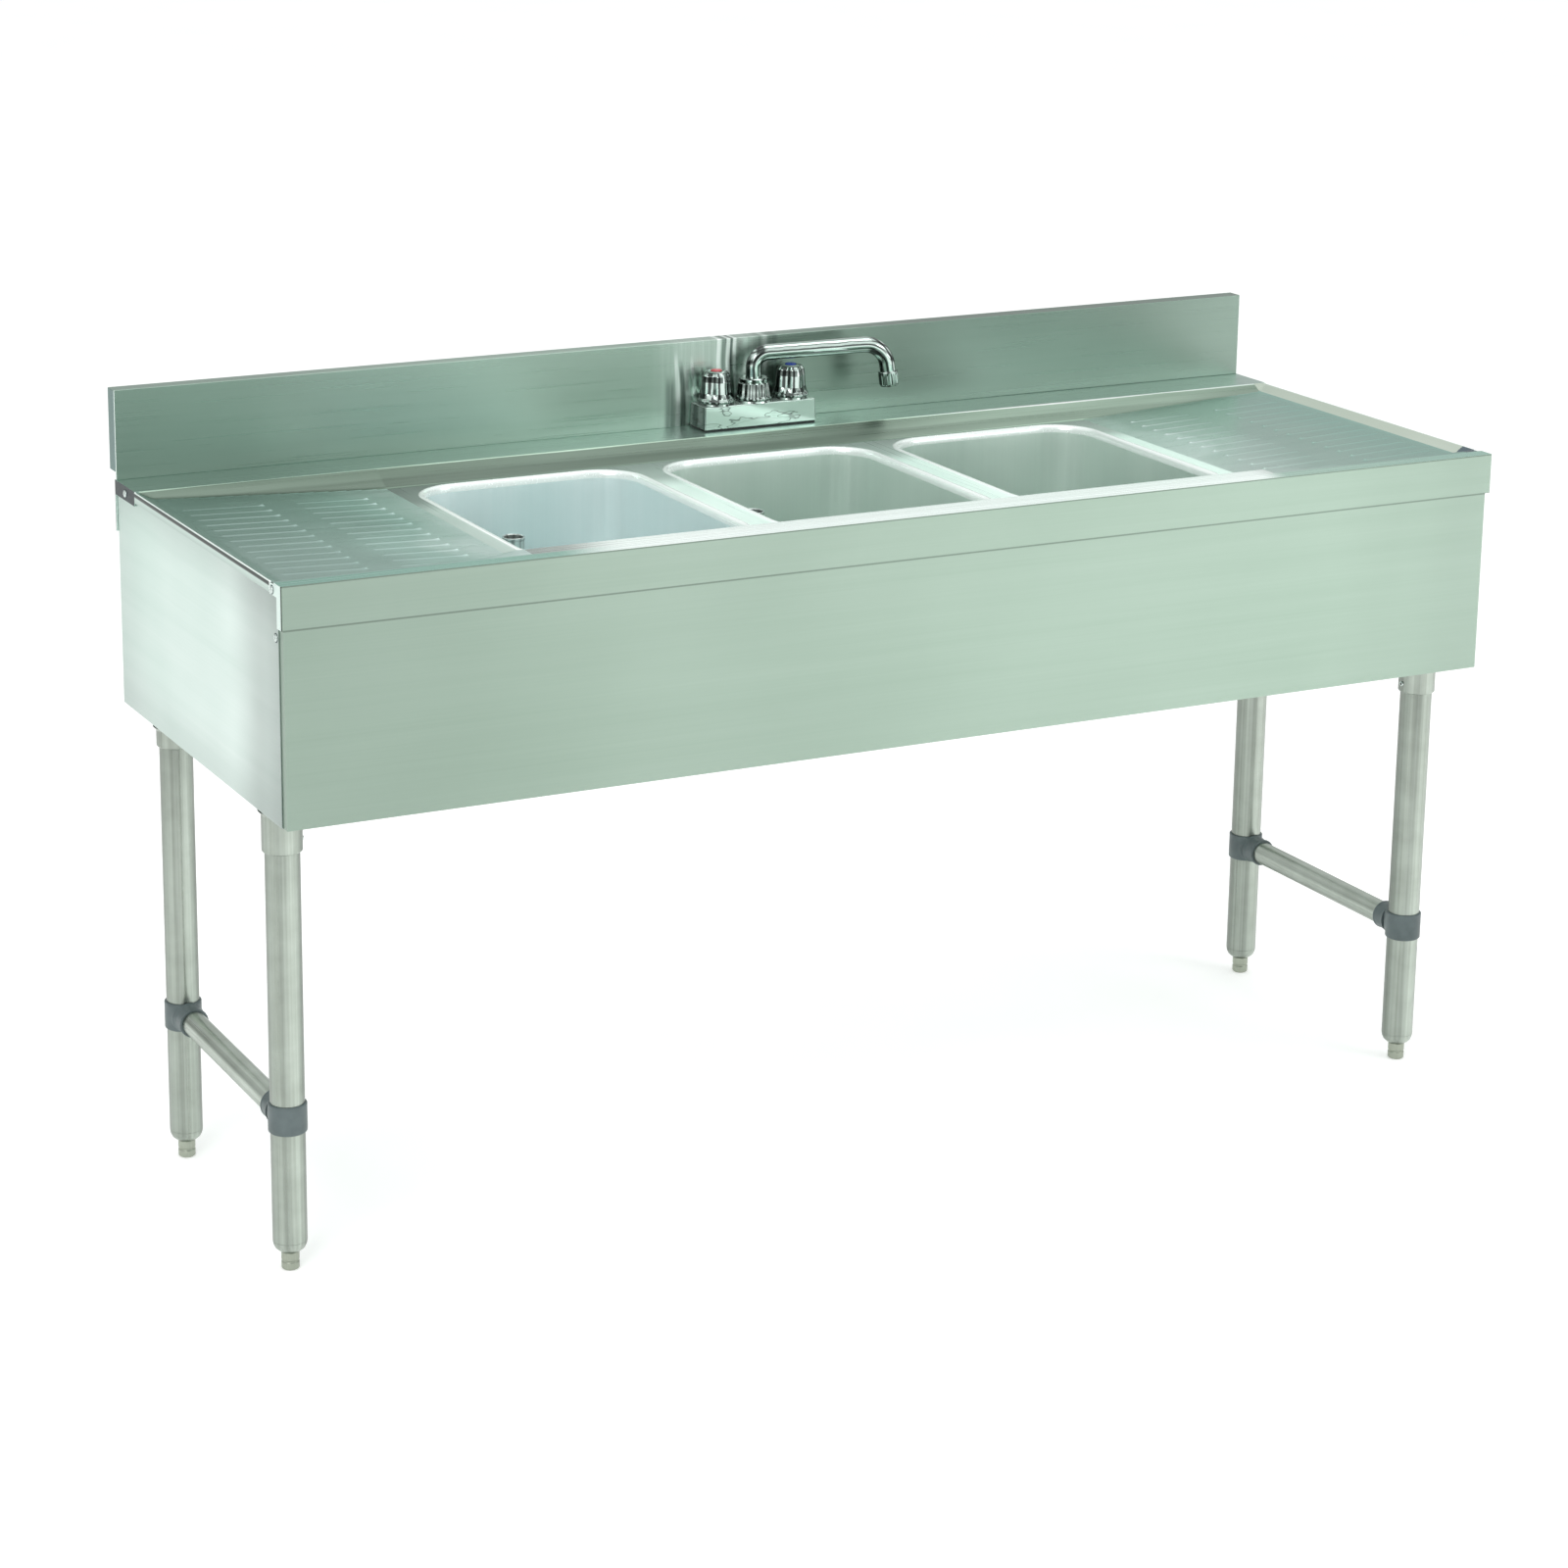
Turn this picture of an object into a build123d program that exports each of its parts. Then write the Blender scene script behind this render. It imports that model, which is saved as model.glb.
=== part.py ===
from build123d import *
import math
import os

os.makedirs("parts", exist_ok=True)

# Three-bowl underbar sink on four tubular legs, with two sloping drainboards,
# a faucet ledge with a low backsplash and a deck-mounted two-handle faucet.
# Frame: +X along the length (to the right seen from the front), +Y to the
# rear (the wall side), +Z up. Origin: floor level, centre of the footprint.
# All depths below are first given from the front face, then moved by Y().

# ---------------------------------------------------------------- dimensions
LENGTH = 1524.0          # overall length (60 in)
DEPTH = 558.0            # front face to back of the splash return
T = 1.6                  # sheet thickness of the top and aprons
Z_TOP = 788.0            # nosing, side ridges and faucet ledge
Z_SPLASH = 892.0         # top of backsplash
Z_SKIRT = 525.0          # bottom edge of the aprons
NOSE_H = 47.0            # height of the nosing face
NOSE_D = 20.0            # depth of the nosing's top flange

Y_RIDGE_F = 32.0         # where the drainboard starts to fall, at the front
Y_RIDGE_R = 471.0        # where it has risen again, at the rear
Y_SPLASH = 536.0         # front plane of the backsplash
Y_PANEL_R = 538.0        # rear edge of the end aprons
FALL_DECK = 18.0         # bowl deck below the rims
FALL_SIDE = 8.0          # drainboard below the rims, at its outer end
BEVEL = 1.7              # run of a bevel for one unit of fall
X_DECK = 470.0           # joint between bowl deck and drainboards
X_FOOT = 744.0           # foot of the side bevel

BOWL_PITCH = 310.0
BOWL_W = 267.0
BOWL_Y0, BOWL_Y1 = 72.0, 428.0
BOWL_R = 50.0            # plan corner radius
BOWL_RB = 28.0           # bottom radius
BOWL_T = 1.2
BOWL_LIP = 8.0           # width of the rolled lip
Z_FLOOR = 532.0          # inside bottom of a bowl

LEG_X = 735.0
LEG_YF, LEG_YR = 84.0, 429.0
LEG_OD, LEG_T = 38.1, 1.6
Z_LEG0, Z_LEG1 = 34.0, 523.0
SOCKET_OD, SOCKET_ID = 44.0, 38.3
Z_SOCKET_F, Z_SOCKET_R = 478.0, 500.0
TEE_Z, TEE_H, TEE_OD = 177.0, 33.0, 42.6
BRACE_OD, BRACE_T = 28.6, 1.2

FOOT_R, SHANK_R, FOOT_CLEAR = 10.0, 6.0, 0.06

DRAIN_DX, DRAIN_DY = 32.0, 58.0     # from bowl centre line / from bowl rear wall
TUBE_R, TUBE_T = 12.7, 1.2
Z_TUBE = 717.0

FAUCET_X = 40.0
FAUCET_Y = 513.0
FAUCET_W, FAUCET_D, FAUCET_H = 152.0, 42.0, 28.0
VALVE_DX = 50.8          # 4 in centres
SPOUT_R = 9.75
SPOUT_REACH = 172.0
SPOUT_DIR = -12.0        # rest direction, degrees from +X
KNOB_R0, KNOB_R1, KNOB_H = 23.0, 18.0, 39.0

Z_DECK = Z_TOP - FALL_DECK
Z_BODY0 = Z_TOP + 2.0                # faucet body stands on a 2 mm gasket
Z_BODY1 = Z_BODY0 + FAUCET_H
YR = DEPTH / 2.0


def Y(v):
    return v - YR


# ------------------------------------------------------------------- helpers
def offset_line(pts, t):
    """Offset an open polyline by t to its right side, with mitred corners."""
    out = []
    n = len(pts)
    for i in range(n):
        dirs = []
        if i > 0:
            dirs.append((pts[i][0] - pts[i - 1][0], pts[i][1] - pts[i - 1][1]))
        if i < n - 1:
            dirs.append((pts[i + 1][0] - pts[i][0], pts[i + 1][1] - pts[i][1]))
        ns = []
        for d in dirs:
            m = math.hypot(*d)
            ns.append((d[1] / m, -d[0] / m))
        if len(ns) == 1:
            nx, ny = ns[0]
            out.append((pts[i][0] + nx * t, pts[i][1] + ny * t))
        else:
            sx, sy = ns[0][0] + ns[1][0], ns[0][1] + ns[1][1]
            k = 2.0 * t / (sx * sx + sy * sy)
            out.append((pts[i][0] + sx * k, pts[i][1] + sy * k))
    return out


def section(pts, t, upright_end=False):
    """Closed outline of a bent sheet. upright_end cuts its last end plumb."""
    low = offset_line(pts, t)
    if upright_end:
        (ya, za), (yb, zb) = low[-2], low[-1]
        y1 = pts[-1][0]
        if abs(yb - ya) > 1e-6:
            low[-1] = (y1, za + (zb - za) * (y1 - ya) / (yb - ya))
    return list(pts) + list(reversed(low))


def prism_x(poly, x0, x1):
    """Closed polygon in (depth, height), extruded from x0 to x1."""
    w = Wire.make_polygon([Vector(x0, Y(a), b) for a, b in poly], close=True)
    return extrude(Face(w), amount=x1 - x0, dir=(1, 0, 0))


def box(x0, x1, y0, y1, z0, z1):
    return Pos((x0 + x1) / 2, (Y(y0) + Y(y1)) / 2, (z0 + z1) / 2) * Box(
        abs(x1 - x0), abs(y1 - y0), abs(z1 - z0))


def cyl(x, y, z0, z1, r):
    return Pos(x, Y(y), (z0 + z1) / 2) * Cylinder(r, z1 - z0)


def ring(x, y, z0, z1, ro, ri):
    return cyl(x, y, z0, z1, ro) - cyl(x, y, z0 - 1, z1 + 1, ri)


def cyl_y(x, z, y0, y1, r):
    return Pos(x, (Y(y0) + Y(y1)) / 2, z) * Rot(90, 0, 0) * Cylinder(r, abs(y1 - y0))


def cyl_x(y, z, x0, x1, r):
    return Pos((x0 + x1) / 2, Y(y), z) * Rot(0, 90, 0) * Cylinder(r, abs(x1 - x0))


def turned(x, y, prof):
    """Closed (radius, height) profile turned about the vertical at x, y."""
    w = Wire.make_polygon([Vector(r, 0, z) for r, z in prof], close=True)
    return Pos(x, Y(y), 0) * revolve(Face(w), Axis.Z, 360)


def hexagon(x, y, z0, z1, af, bore=0.0):
    r = af / math.sqrt(3.0)
    w = Wire.make_polygon([Vector(x + r * math.cos(math.radians(60 * i)),
                                  Y(y) + r * math.sin(math.radians(60 * i)), z0)
                           for i in range(6)], close=True)
    s = extrude(Face(w), amount=z1 - z0, dir=(0, 0, 1))
    if bore:
        s = s - cyl(x, y, z0 - 1, z1 + 1, bore)
    return s


NODES = {}


def keep(name, *shapes):
    """One node from one or more separate solids."""
    solids = []
    for s in shapes:
        solids += list(s.solids())
    NODES[name] = solids


# ------------------------------------------------------------ top and aprons
# Front nosing: top flange, tall face and a short return over the skirt.
nose = prism_x(section(
    [(3.2, Z_TOP - NOSE_H), (0.0, Z_TOP - NOSE_H), (0.0, Z_TOP), (NOSE_D, Z_TOP)], T),
    -LENGTH / 2, LENGTH / 2)
for s in (-1, 1):
    # end return, with a tab on top that takes the upper screw
    a, b = sorted((s * LENGTH / 2, s * (LENGTH / 2 - 1.4)))
    nose = nose + box(a, b, 0.2, 12.0, Z_TOP - NOSE_H, Z_TOP - 0.2)
    nose = nose + box(a, b, 8.0, Y_RIDGE_F - 0.5, Z_TOP - 14.0, Z_TOP - T - 0.1)
keep("front_nosing", nose)

# Skirt: set back behind the nosing, bottom return, end returns inside the
# end aprons.
XS = LENGTH / 2 - 3.6
skirt = prism_x(section([(16.0, Z_SKIRT), (3.4, Z_SKIRT), (3.4, Z_TOP - 14.0)], T), -XS, XS)
for s in (-1, 1):
    a, b = sorted((s * XS, s * (XS - T)))
    skirt = skirt + box(a, b, 3.4, 34.0, Z_SKIRT, Z_TOP - 14.0)
keep("front_skirt", skirt)

# End aprons: flat plates with a bottom hem and a rear return; they hang
# inside the down-turned flange of the drainboard.
for name, s in (("side_panel_left", -1), ("side_panel_right", 1)):
    xo, xi = s * (XS + T), s * XS
    a, b = sorted((xo, xi))
    p = box(a, b, 15.0, Y_PANEL_R, Z_SKIRT, Z_TOP - 6.0)
    a, b = sorted((xi, s * (XS - T)))
    p = p + box(a, b, 36.0, Y_PANEL_R, Z_SKIRT, Z_SKIRT + 9.0)
    a, b = sorted((xo, s * (XS - 16.0)))
    p = p + box(a, b, Y_PANEL_R - T, Y_PANEL_R, Z_SKIRT, Z_TOP - 40.0)
    # clear of the faucet ledge, which closes over the rear corner
    a, b = sorted((xo + s * 0.1, s * (XS - 30.0)))
    p = p - box(a, b, 470.0, Y_PANEL_R + 1, Z_TOP - 12.0, Z_TOP)
    keep(name, p)


def board_section(h, fy=Y_RIDGE_F, ry=Y_RIDGE_R, kf=BEVEL, kr=BEVEL):
    """Drainboard section: front strip, fall, flat, rise to the ledge."""
    z = Z_TOP - T
    return [(2.0, z), (fy, z), (fy + kf * h, z - h + T), (ry - kr * h, z - h + T), (ry, Z_TOP)]


def wire_at(x, sec):
    return Wire.make_polygon([Vector(x, Y(a), b) for a, b in section(sec, T, True)], close=True)


RIB_PITCH = 26.4
RIB_N = 13
RIB_Y0 = 80.0
RIB_W, RIB_H = 7.0, 2.2
RIB_COLS = ((509.0, 598.0), (634.0, 732.0))     # two columns with a plain gap


def board_z(x):
    f = (abs(x) - X_DECK) / (X_FOOT - X_DECK)
    return Z_TOP - (FALL_DECK + (FALL_SIDE - FALL_DECK) * f)


for name, s in (("drainboard_left", -1), ("drainboard_right", 1)):
    inner = wire_at(s * X_DECK, board_section(FALL_DECK))
    foot = wire_at(s * X_FOOT, board_section(FALL_SIDE))
    ridge = wire_at(s * (LENGTH / 2 - 0.1), board_section(0.35))
    b = Solid.make_loft([inner, foot], True) + Solid.make_loft([foot, ridge], True)
    xo, xi = s * LENGTH / 2, s * (LENGTH / 2 - 1.4)
    a, c = sorted((xo, xi))
    b = b + box(a, c, Y_RIDGE_F, Y_RIDGE_R, Z_TOP - 13.0, Z_TOP - 0.4)
    slope = math.degrees(math.atan2(FALL_DECK - FALL_SIDE, X_FOOT - X_DECK))
    for c0, c1 in RIB_COLS:
        for i in range(RIB_N):
            yy = RIB_Y0 + RIB_PITCH * i
            xm = s * (c0 + c1) / 2
            zz = board_z(xm)
            r = RIB_W / 2
            rib = extrude(SlotCenterToCenter(c1 - c0 - RIB_W, RIB_W), amount=RIB_H + 1.0)
            b = b + Pos(xm, Y(yy), zz - 1.0) * Rot(0, -s * slope, 0) * rib
    # room for the nosing's end return
    a, c = sorted((s * (LENGTH / 2 - 1.5), s * (LENGTH / 2 + 1.0)))
    b = b - box(a, c, 0.0, Y_RIDGE_F - 0.3, Z_TOP - 9.0, Z_TOP + 1.0)
    keep(name, b)

# Bowl deck: same edges, level middle with three cut-outs for the bowl lips.
deck = prism_x(section([(2.0, Z_TOP - T), (50.0, Z_TOP - T), (62.0, Z_DECK),
                        (Y_RIDGE_R - BEVEL * FALL_DECK, Z_DECK), (Y_RIDGE_R, Z_TOP)], T, True),
               -X_DECK, X_DECK)
BY = (BOWL_Y0 + BOWL_Y1) / 2
BL = BOWL_Y1 - BOWL_Y0
for i in (-1, 0, 1):
    cut = extrude(RectangleRounded(BOWL_W + 2 * BOWL_LIP, BL + 2 * BOWL_LIP, BOWL_R + BOWL_LIP),
                  amount=20)
    deck = deck - Pos(i * BOWL_PITCH, Y(BY), Z_DECK - 10) * cut
keep("bowl_deck", deck)

# Rear ledge: flat shelf for the faucet with a rear flange.
ledge = prism_x(section([(Y_RIDGE_R, Z_TOP), (Y_PANEL_R + 3.0, Z_TOP), (Y_PANEL_R + 3.0, Z_TOP - 60.0)], T),
                -LENGTH / 2, LENGTH / 2)
for s in (-1, 1):
    ledge = ledge - cyl(FAUCET_X + s * VALVE_DX, FAUCET_Y, Z_TOP - 10, Z_TOP + 5, 13.0)
    # end flange over the end apron
    a, c = sorted((s * LENGTH / 2, s * (LENGTH / 2 - 1.4)))
    ledge = ledge + box(a, c, Y_RIDGE_R, Y_PANEL_R + 3.0, Z_TOP - 17.0, Z_TOP - 0.4)
keep("rear_ledge", ledge)

# Backsplash: face, top return, rear lip and two end returns that stop short
# of the ledge.
sp = prism_x(section([(DEPTH, Z_SPLASH - 16.0), (DEPTH, Z_SPLASH), (Y_SPLASH, Z_SPLASH), (Y_SPLASH, Z_TOP)], -T),
             -LENGTH / 2, LENGTH / 2)
for s in (-1, 1):
    a, c = sorted((s * LENGTH / 2, s * (LENGTH / 2 - T)))
    sp = sp + box(a, c, Y_SPLASH, DEPTH, Z_TOP + 9.0, Z_SPLASH)
keep("backsplash", sp)

# Leg channels: welded inside the end aprons, open at the top.
for name, s in (("leg_channel_left", -1), ("leg_channel_right", 1)):
    x0, x1 = sorted((s * (XS - 2.0), s * 706.0))
    c = box(x0, x1, 38.0, 534.0, Z_SKIRT + 1.6, Z_SKIRT + 3.6)
    c = c + box(x0, x0 + 2, 38.0, 534.0, Z_SKIRT + 1.6, Z_SKIRT + 32.0)
    c = c + box(x1 - 2, x1, 38.0, 534.0, Z_SKIRT + 1.6, Z_SKIRT + 32.0)
    keep(name, c)

# -------------------------------------------------------------------- bowls
BOWLS = (("left", -1), ("centre", 0), ("right", 1))


def bowl_shell(cx):
    cy = Y(BY)
    depth = Z_DECK - Z_FLOOR
    outer = extrude(RectangleRounded(BOWL_W + 2 * BOWL_T, BL + 2 * BOWL_T, BOWL_R + BOWL_T),
                    amount=depth + BOWL_T)
    outer = fillet(outer.faces().sort_by(Axis.Z)[0].edges(), BOWL_RB + BOWL_T)
    lip = Pos(0, 0, depth + BOWL_T - T) * extrude(
        RectangleRounded(BOWL_W + 2 * BOWL_LIP, BL + 2 * BOWL_LIP, BOWL_R + BOWL_LIP), amount=T)
    cav = extrude(RectangleRounded(BOWL_W, BL, BOWL_R), amount=depth + 5.0)
    cav = Pos(0, 0, BOWL_T) * fillet(cav.faces().sort_by(Axis.Z)[0].edges(), BOWL_RB)
    body = outer + lip
    # material under the lip, then a rolled edge on the inside
    zc = depth + BOWL_T - T

    def loop(shape, z, grow, r):
        hits = []
        for e in shape.edges():
            b = e.bounding_box()
            if abs(b.min.Z - z) > 0.01 or abs(b.max.Z - z) > 0.01:
                continue
            c = e.position_at(0.5)
            if e.geom_type == GeomType.CIRCLE:
                if abs(e.radius - r) < 0.05:
                    hits.append(e)
            elif abs(abs(c.X) - BOWL_W / 2 - grow) < 0.05 or abs(abs(c.Y) - BL / 2 - grow) < 0.05:
                hits.append(e)
        return hits

    body = fillet(loop(body, zc, BOWL_T, BOWL_R + BOWL_T), 4.0)
    body = body - cav
    body = fillet(loop(body, depth + BOWL_T, 0.0, BOWL_R), 4.5)
    body = body - Pos(-DRAIN_DX, BL / 2 - DRAIN_DY, 0) * Cylinder(23.5, 20)
    return Pos(cx, cy, Z_FLOOR - BOWL_T) * body


drains, gaskets, nuts = [], [], []
for label, k in BOWLS:
    cx = k * BOWL_PITCH
    keep("bowl_" + label, bowl_shell(cx))
    dx, dy = cx - DRAIN_DX, BOWL_Y1 - DRAIN_DY
    # drain body: flange on the bowl floor, threaded barrel for the locknut,
    # relief groove, then the plain tail, with the seat for the tube inside
    drains.append(turned(dx, dy, [
        (TUBE_R + 0.05, 506.0), (19.0, 502.0), (19.0, 476.0), (22.5, 476.0), (22.5, 512.0),
        (21.5, 512.0), (21.5, 515.0), (23.2, 515.0), (23.2, Z_FLOOR),
        (29.0, Z_FLOOR), (29.0, Z_FLOOR + 0.8), (26.5, Z_FLOOR + 2.4), (20.0, Z_FLOOR + 2.4),
        (TUBE_R + 0.05, Z_FLOOR - 3.0)]))
    gaskets.append(ring(dx, dy, Z_FLOOR - BOWL_T - 3.0, Z_FLOOR - BOWL_T, 28.0, 23.3))
    nuts.append(turned(dx, dy, [
        (23.3, Z_FLOOR - BOWL_T - 12.0), (27.5, Z_FLOOR - BOWL_T - 12.0), (27.5, Z_FLOOR - BOWL_T - 6.0),
        (30.0, Z_FLOOR - BOWL_T - 5.0), (30.0, Z_FLOOR - BOWL_T - 3.0), (23.3, Z_FLOOR - BOWL_T - 3.0)]))
    # stand-pipe: a plain tube with a rolled top, seated in the drain
    keep("overflow_tube_" + label, turned(dx, dy, [
        (TUBE_R - TUBE_T, 508.0), (TUBE_R, 508.0), (TUBE_R, Z_TUBE - 2.0), (TUBE_R + 0.7, Z_TUBE - 1.0),
        (TUBE_R + 0.7, Z_TUBE), (TUBE_R - TUBE_T, Z_TUBE)]))
keep("drain_bodies", *drains)
keep("drain_gaskets", *gaskets)
keep("drain_locknuts", *nuts)

# --------------------------------------------------------------------- legs
LEGS = (("front_left", -1, LEG_YF, Z_SOCKET_F), ("front_right", 1, LEG_YF, Z_SOCKET_F),
        ("rear_left", -1, LEG_YR, Z_SOCKET_R), ("rear_right", 1, LEG_YR, Z_SOCKET_R))
sockets, setscrews, inserts = [], [], []
for name, s, ly, zs in LEGS:
    x = s * LEG_X
    x0, x1 = sorted((s * (XS - 2.2), s * 712.0))
    sock = box(x0, x1, ly - 28, ly + 28, Z_LEG1 + 0.6, Z_SKIRT + 1.6) + cyl(x, ly, zs, Z_LEG1 + 1.0, SOCKET_OD / 2)
    sock = sock - cyl(x, ly, zs - 1, Z_LEG1 + 0.6, SOCKET_ID / 2)
    hz = zs + 11.0
    xa, xb = sorted((x - s * 17.0, x - s * 27.0))
    sock = sock - cyl_x(ly, hz, xa, xb, 3.05)
    sockets.append(sock)
    xa, xb = sorted((x - s * (LEG_OD / 2 + 0.1), x - s * (LEG_OD / 2 + 4.6)))
    setscrews.append(cyl_x(ly, hz, xa, xb, 3.0))
    keep("leg_" + name, ring(x, ly, Z_LEG0, Z_LEG1, LEG_OD / 2, LEG_OD / 2 - LEG_T))
    # domed end plug pressed into the tube, with the foot's threaded hole
    ro, rp = LEG_OD / 2, LEG_OD / 2 - LEG_T - 0.05
    inserts.append(turned(x, ly, [
        (SHANK_R + FOOT_CLEAR, 22.0), (10.6, 22.0), (13.6, 22.9), (16.2, 25.2), (18.1, 28.8), (ro, Z_LEG0),
        (rp, Z_LEG0), (rp, 60.0), (SHANK_R + FOOT_CLEAR, 60.0)]))
    keep("foot_" + name, turned(x, ly, [
        (0, 0), (8.4, 0), (FOOT_R, 1.6), (FOOT_R, 9.0), (9.2, 9.6), (9.2, 10.6), (FOOT_R, 11.2), (FOOT_R, 20.6),
        (9.4, 21.6), (SHANK_R, 21.6), (SHANK_R, 57.0), (SHANK_R - 1, 58.0), (0, 58.0)]))
keep("leg_sockets", *sockets)
keep("socket_set_screws", *setscrews)
keep("foot_inserts", *inserts)

# Moulded tee on each leg; its branch holds the end of the side brace.
for name, s, ly, zs in LEGS:
    x = s * LEG_X
    d = 1 if ly == LEG_YF else -1
    end = ly + d * 40.0
    tee = cyl(x, ly, TEE_Z - TEE_H / 2, TEE_Z + TEE_H / 2, TEE_OD / 2)
    lo, hi = sorted((ly, end))
    tee = tee + cyl_y(x, TEE_Z, lo, hi, 16.2 + 1.0)
    tee = tee - cyl(x, ly, TEE_Z - 30, TEE_Z + 30, LEG_OD / 2 + 0.05)
    lo, hi = sorted((ly + d * 19.5, end + d))
    tee = tee - cyl_y(x, TEE_Z, lo, hi, BRACE_OD / 2 + 0.05)
    keep("tee_" + name, tee)
for name, s in (("brace_left", -1), ("brace_right", 1)):
    b = cyl_y(s * LEG_X, TEE_Z, LEG_YF + 23.0, LEG_YR - 23.0, BRACE_OD / 2) - cyl_y(
        s * LEG_X, TEE_Z, LEG_YF + 20.0, LEG_YR - 20.0, BRACE_OD / 2 - BRACE_T)
    keep(name, b)

# ------------------------------------------------------------------- faucet
fx, fy = FAUCET_X, FAUCET_Y
VX = (fx - VALVE_DX, fx + VALVE_DX)
gas = box(fx - FAUCET_W / 2 + 1, fx + FAUCET_W / 2 - 1, fy - FAUCET_D / 2 + 1, fy + FAUCET_D / 2 - 1, Z_TOP, Z_BODY0)
for vx in VX:
    gas = gas - cyl(vx, fy, Z_TOP - 1, Z_BODY0 + 1, 11.5)
keep("faucet_gasket", gas)

base = extrude(Rectangle(FAUCET_W, FAUCET_D), amount=FAUCET_H, taper=2.0)
base = fillet(base.edges().filter_by(lambda e: abs(e.tangent_at(0.5).Z) > 0.9), 2.5)
base = fillet(base.faces().sort_by(Axis.Z)[-1].edges(), 1.5)
base = Pos(fx, Y(fy), Z_BODY0) * base
STEM_R = 5.0
for vx in VX:
    base = base + cyl(vx, fy, Z_BODY1 - 1, Z_BODY1 + 2.0, 20.0)
    base = base - cyl(vx, fy, Z_BODY0 + 6.0, Z_BODY1 + 3.0, 8.0)
base = base + cyl(fx, fy, Z_BODY1 - 1, Z_BODY1 + 2.0, 22.0)
base = base - cyl(fx, fy, Z_BODY0 + 6.0, Z_BODY1 + 3.0, 10.2)
keep("faucet_body", base)

# shank: plain tail for the hose nut, relief groove, threaded length for the locknut
keep("supply_shanks", *[turned(vx, fy, [
    (6.0, 738.0), (10.3, 738.0), (10.3, 770.0), (9.6, 770.0), (9.6, 773.0), (10.7, 773.0), (10.7, Z_BODY0),
    (6.0, Z_BODY0)]) for vx in VX])
keep("shank_locknuts", *[hexagon(vx, fy, Z_TOP - T - 11.0, Z_TOP - T, 34.0, 10.8) for vx in VX])
keep("valve_bonnets", *[hexagon(vx, fy, Z_BODY1 + 2.0, Z_BODY1 + 9.0, 22.0, STEM_R + 0.06) for vx in VX])

for label, vx in (("hot", VX[0]), ("cold", VX[1])):
    keep(label + "_stem", turned(vx, fy, [
        (0, Z_BODY0 + 7.0), (7.9, Z_BODY0 + 7.0), (7.9, Z_BODY0 + 11.0), (STEM_R, Z_BODY0 + 12.0),
        (STEM_R, Z_BODY1 + 26.0), (0, Z_BODY1 + 26.0)]))
    z0 = Z_BODY1 + 2.4
    z1 = z0 + KNOB_H
    knob = turned(vx, fy, [
        (0, z0), (KNOB_R0, z0), (KNOB_R0, z0 + 3.0), (20.6, z0 + 6.0), (19.2, z0 + 12.0), (KNOB_R1, z0 + 29.0),
        (KNOB_R1 - 1.5, z1 - 5.0), (13.5, z1 - 1.6), (9.0, z1 - 0.3), (0, z1 - 0.3)])
    for i in range(4):
        a = math.radians(45 + 90 * i)
        knob = knob - cyl(vx + 25.5 * math.cos(a), fy + 25.5 * math.sin(a), z0 + 8.0, z1 + 2, 10.5)
    knob = knob - cyl(vx, fy, z0 - 1, z0 + 9.0, 13.6)
    knob = knob - cyl(vx, fy, z0, z0 + 23.6, STEM_R)
    knob = knob - cyl(vx, fy, z0 + 23.0, z1 + 1, 2.0)
    knob = knob - cyl(vx, fy, z1 - 6.0, z1 + 1, 7.0)
    keep(label + "_handle", knob)
    keep(label + "_handle_screw", turned(vx, fy, [
        (0, z0 + 23.7), (1.95, z0 + 23.7), (1.95, z1 - 6.0), (4.0, z1 - 6.0), (4.0, z1 - 3.2), (0, z1 - 3.2)]))
    keep(label + "_index", turned(vx, fy, [
        (0, z1 - 2.6), (6.95, z1 - 2.6), (6.95, z1 - 0.2), (5.5, z1 + 0.8), (0, z1 + 1.2)]))

# spout nut: fluted cap nut that holds the swinging spout down
zn = Z_BODY1 + 2.0
nut = turned(fx, fy, [
    (SPOUT_R + 0.35, zn), (23.0, zn), (23.0, zn + 3.0), (21.5, zn + 5.0), (20.0, zn + 21.0), (18.0, zn + 22.5),
    (18.0, zn + 26.0), (16.5, zn + 27.0), (SPOUT_R + 0.35, zn + 27.0)])
keep("spout_nut", nut)

# spout: riser, long arm that climbs a little, turned-down end
z_arm = Z_SPLASH - 16.0
rise = math.tan(math.radians(2.0)) * SPOUT_REACH
z_low = Z_BODY0 + 20.0
tip_z = Z_SPLASH - 54.0
path = FilletPolyline((0, 0, z_low), (0, 0, z_arm), (SPOUT_REACH - 6.0, 0, z_arm + rise),
                      (SPOUT_REACH, 0, tip_z), radius=[18.0, 30.0])
tube_o = sweep(Plane((0, 0, z_low)) * Circle(SPOUT_R), path=path)
tube_i = sweep(Plane((0, 0, z_low)) * Circle(SPOUT_R - 1.2), path=path)
spout = tube_o - tube_i
PL = Pos(fx, Y(fy), 0) * Rot(0, 0, SPOUT_DIR)
keep("spout_tube", PL * spout)
oring = Pos(fx, Y(fy), Z_BODY0 + 24.0) * (Cylinder(10.15, 3.0) - Cylinder(SPOUT_R, 3.5))
keep("spout_o_ring", oring)
down = Vector(6.0, 0, tip_z - z_arm - rise).normalized()
AP = Plane(origin=(SPOUT_REACH, 0, tip_z), z_dir=(down.X, down.Y, down.Z))
aer = AP * Pos(0, 0, -0.5) * Cylinder(12.2, 19.0)
aer = aer - AP * Pos(0, 0, -7.0) * Cylinder(SPOUT_R + 0.03, 14.0) - AP * Pos(0, 0, 5.0) * Cylinder(8.0, 12.0)
keep("aerator", PL * aer)

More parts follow.
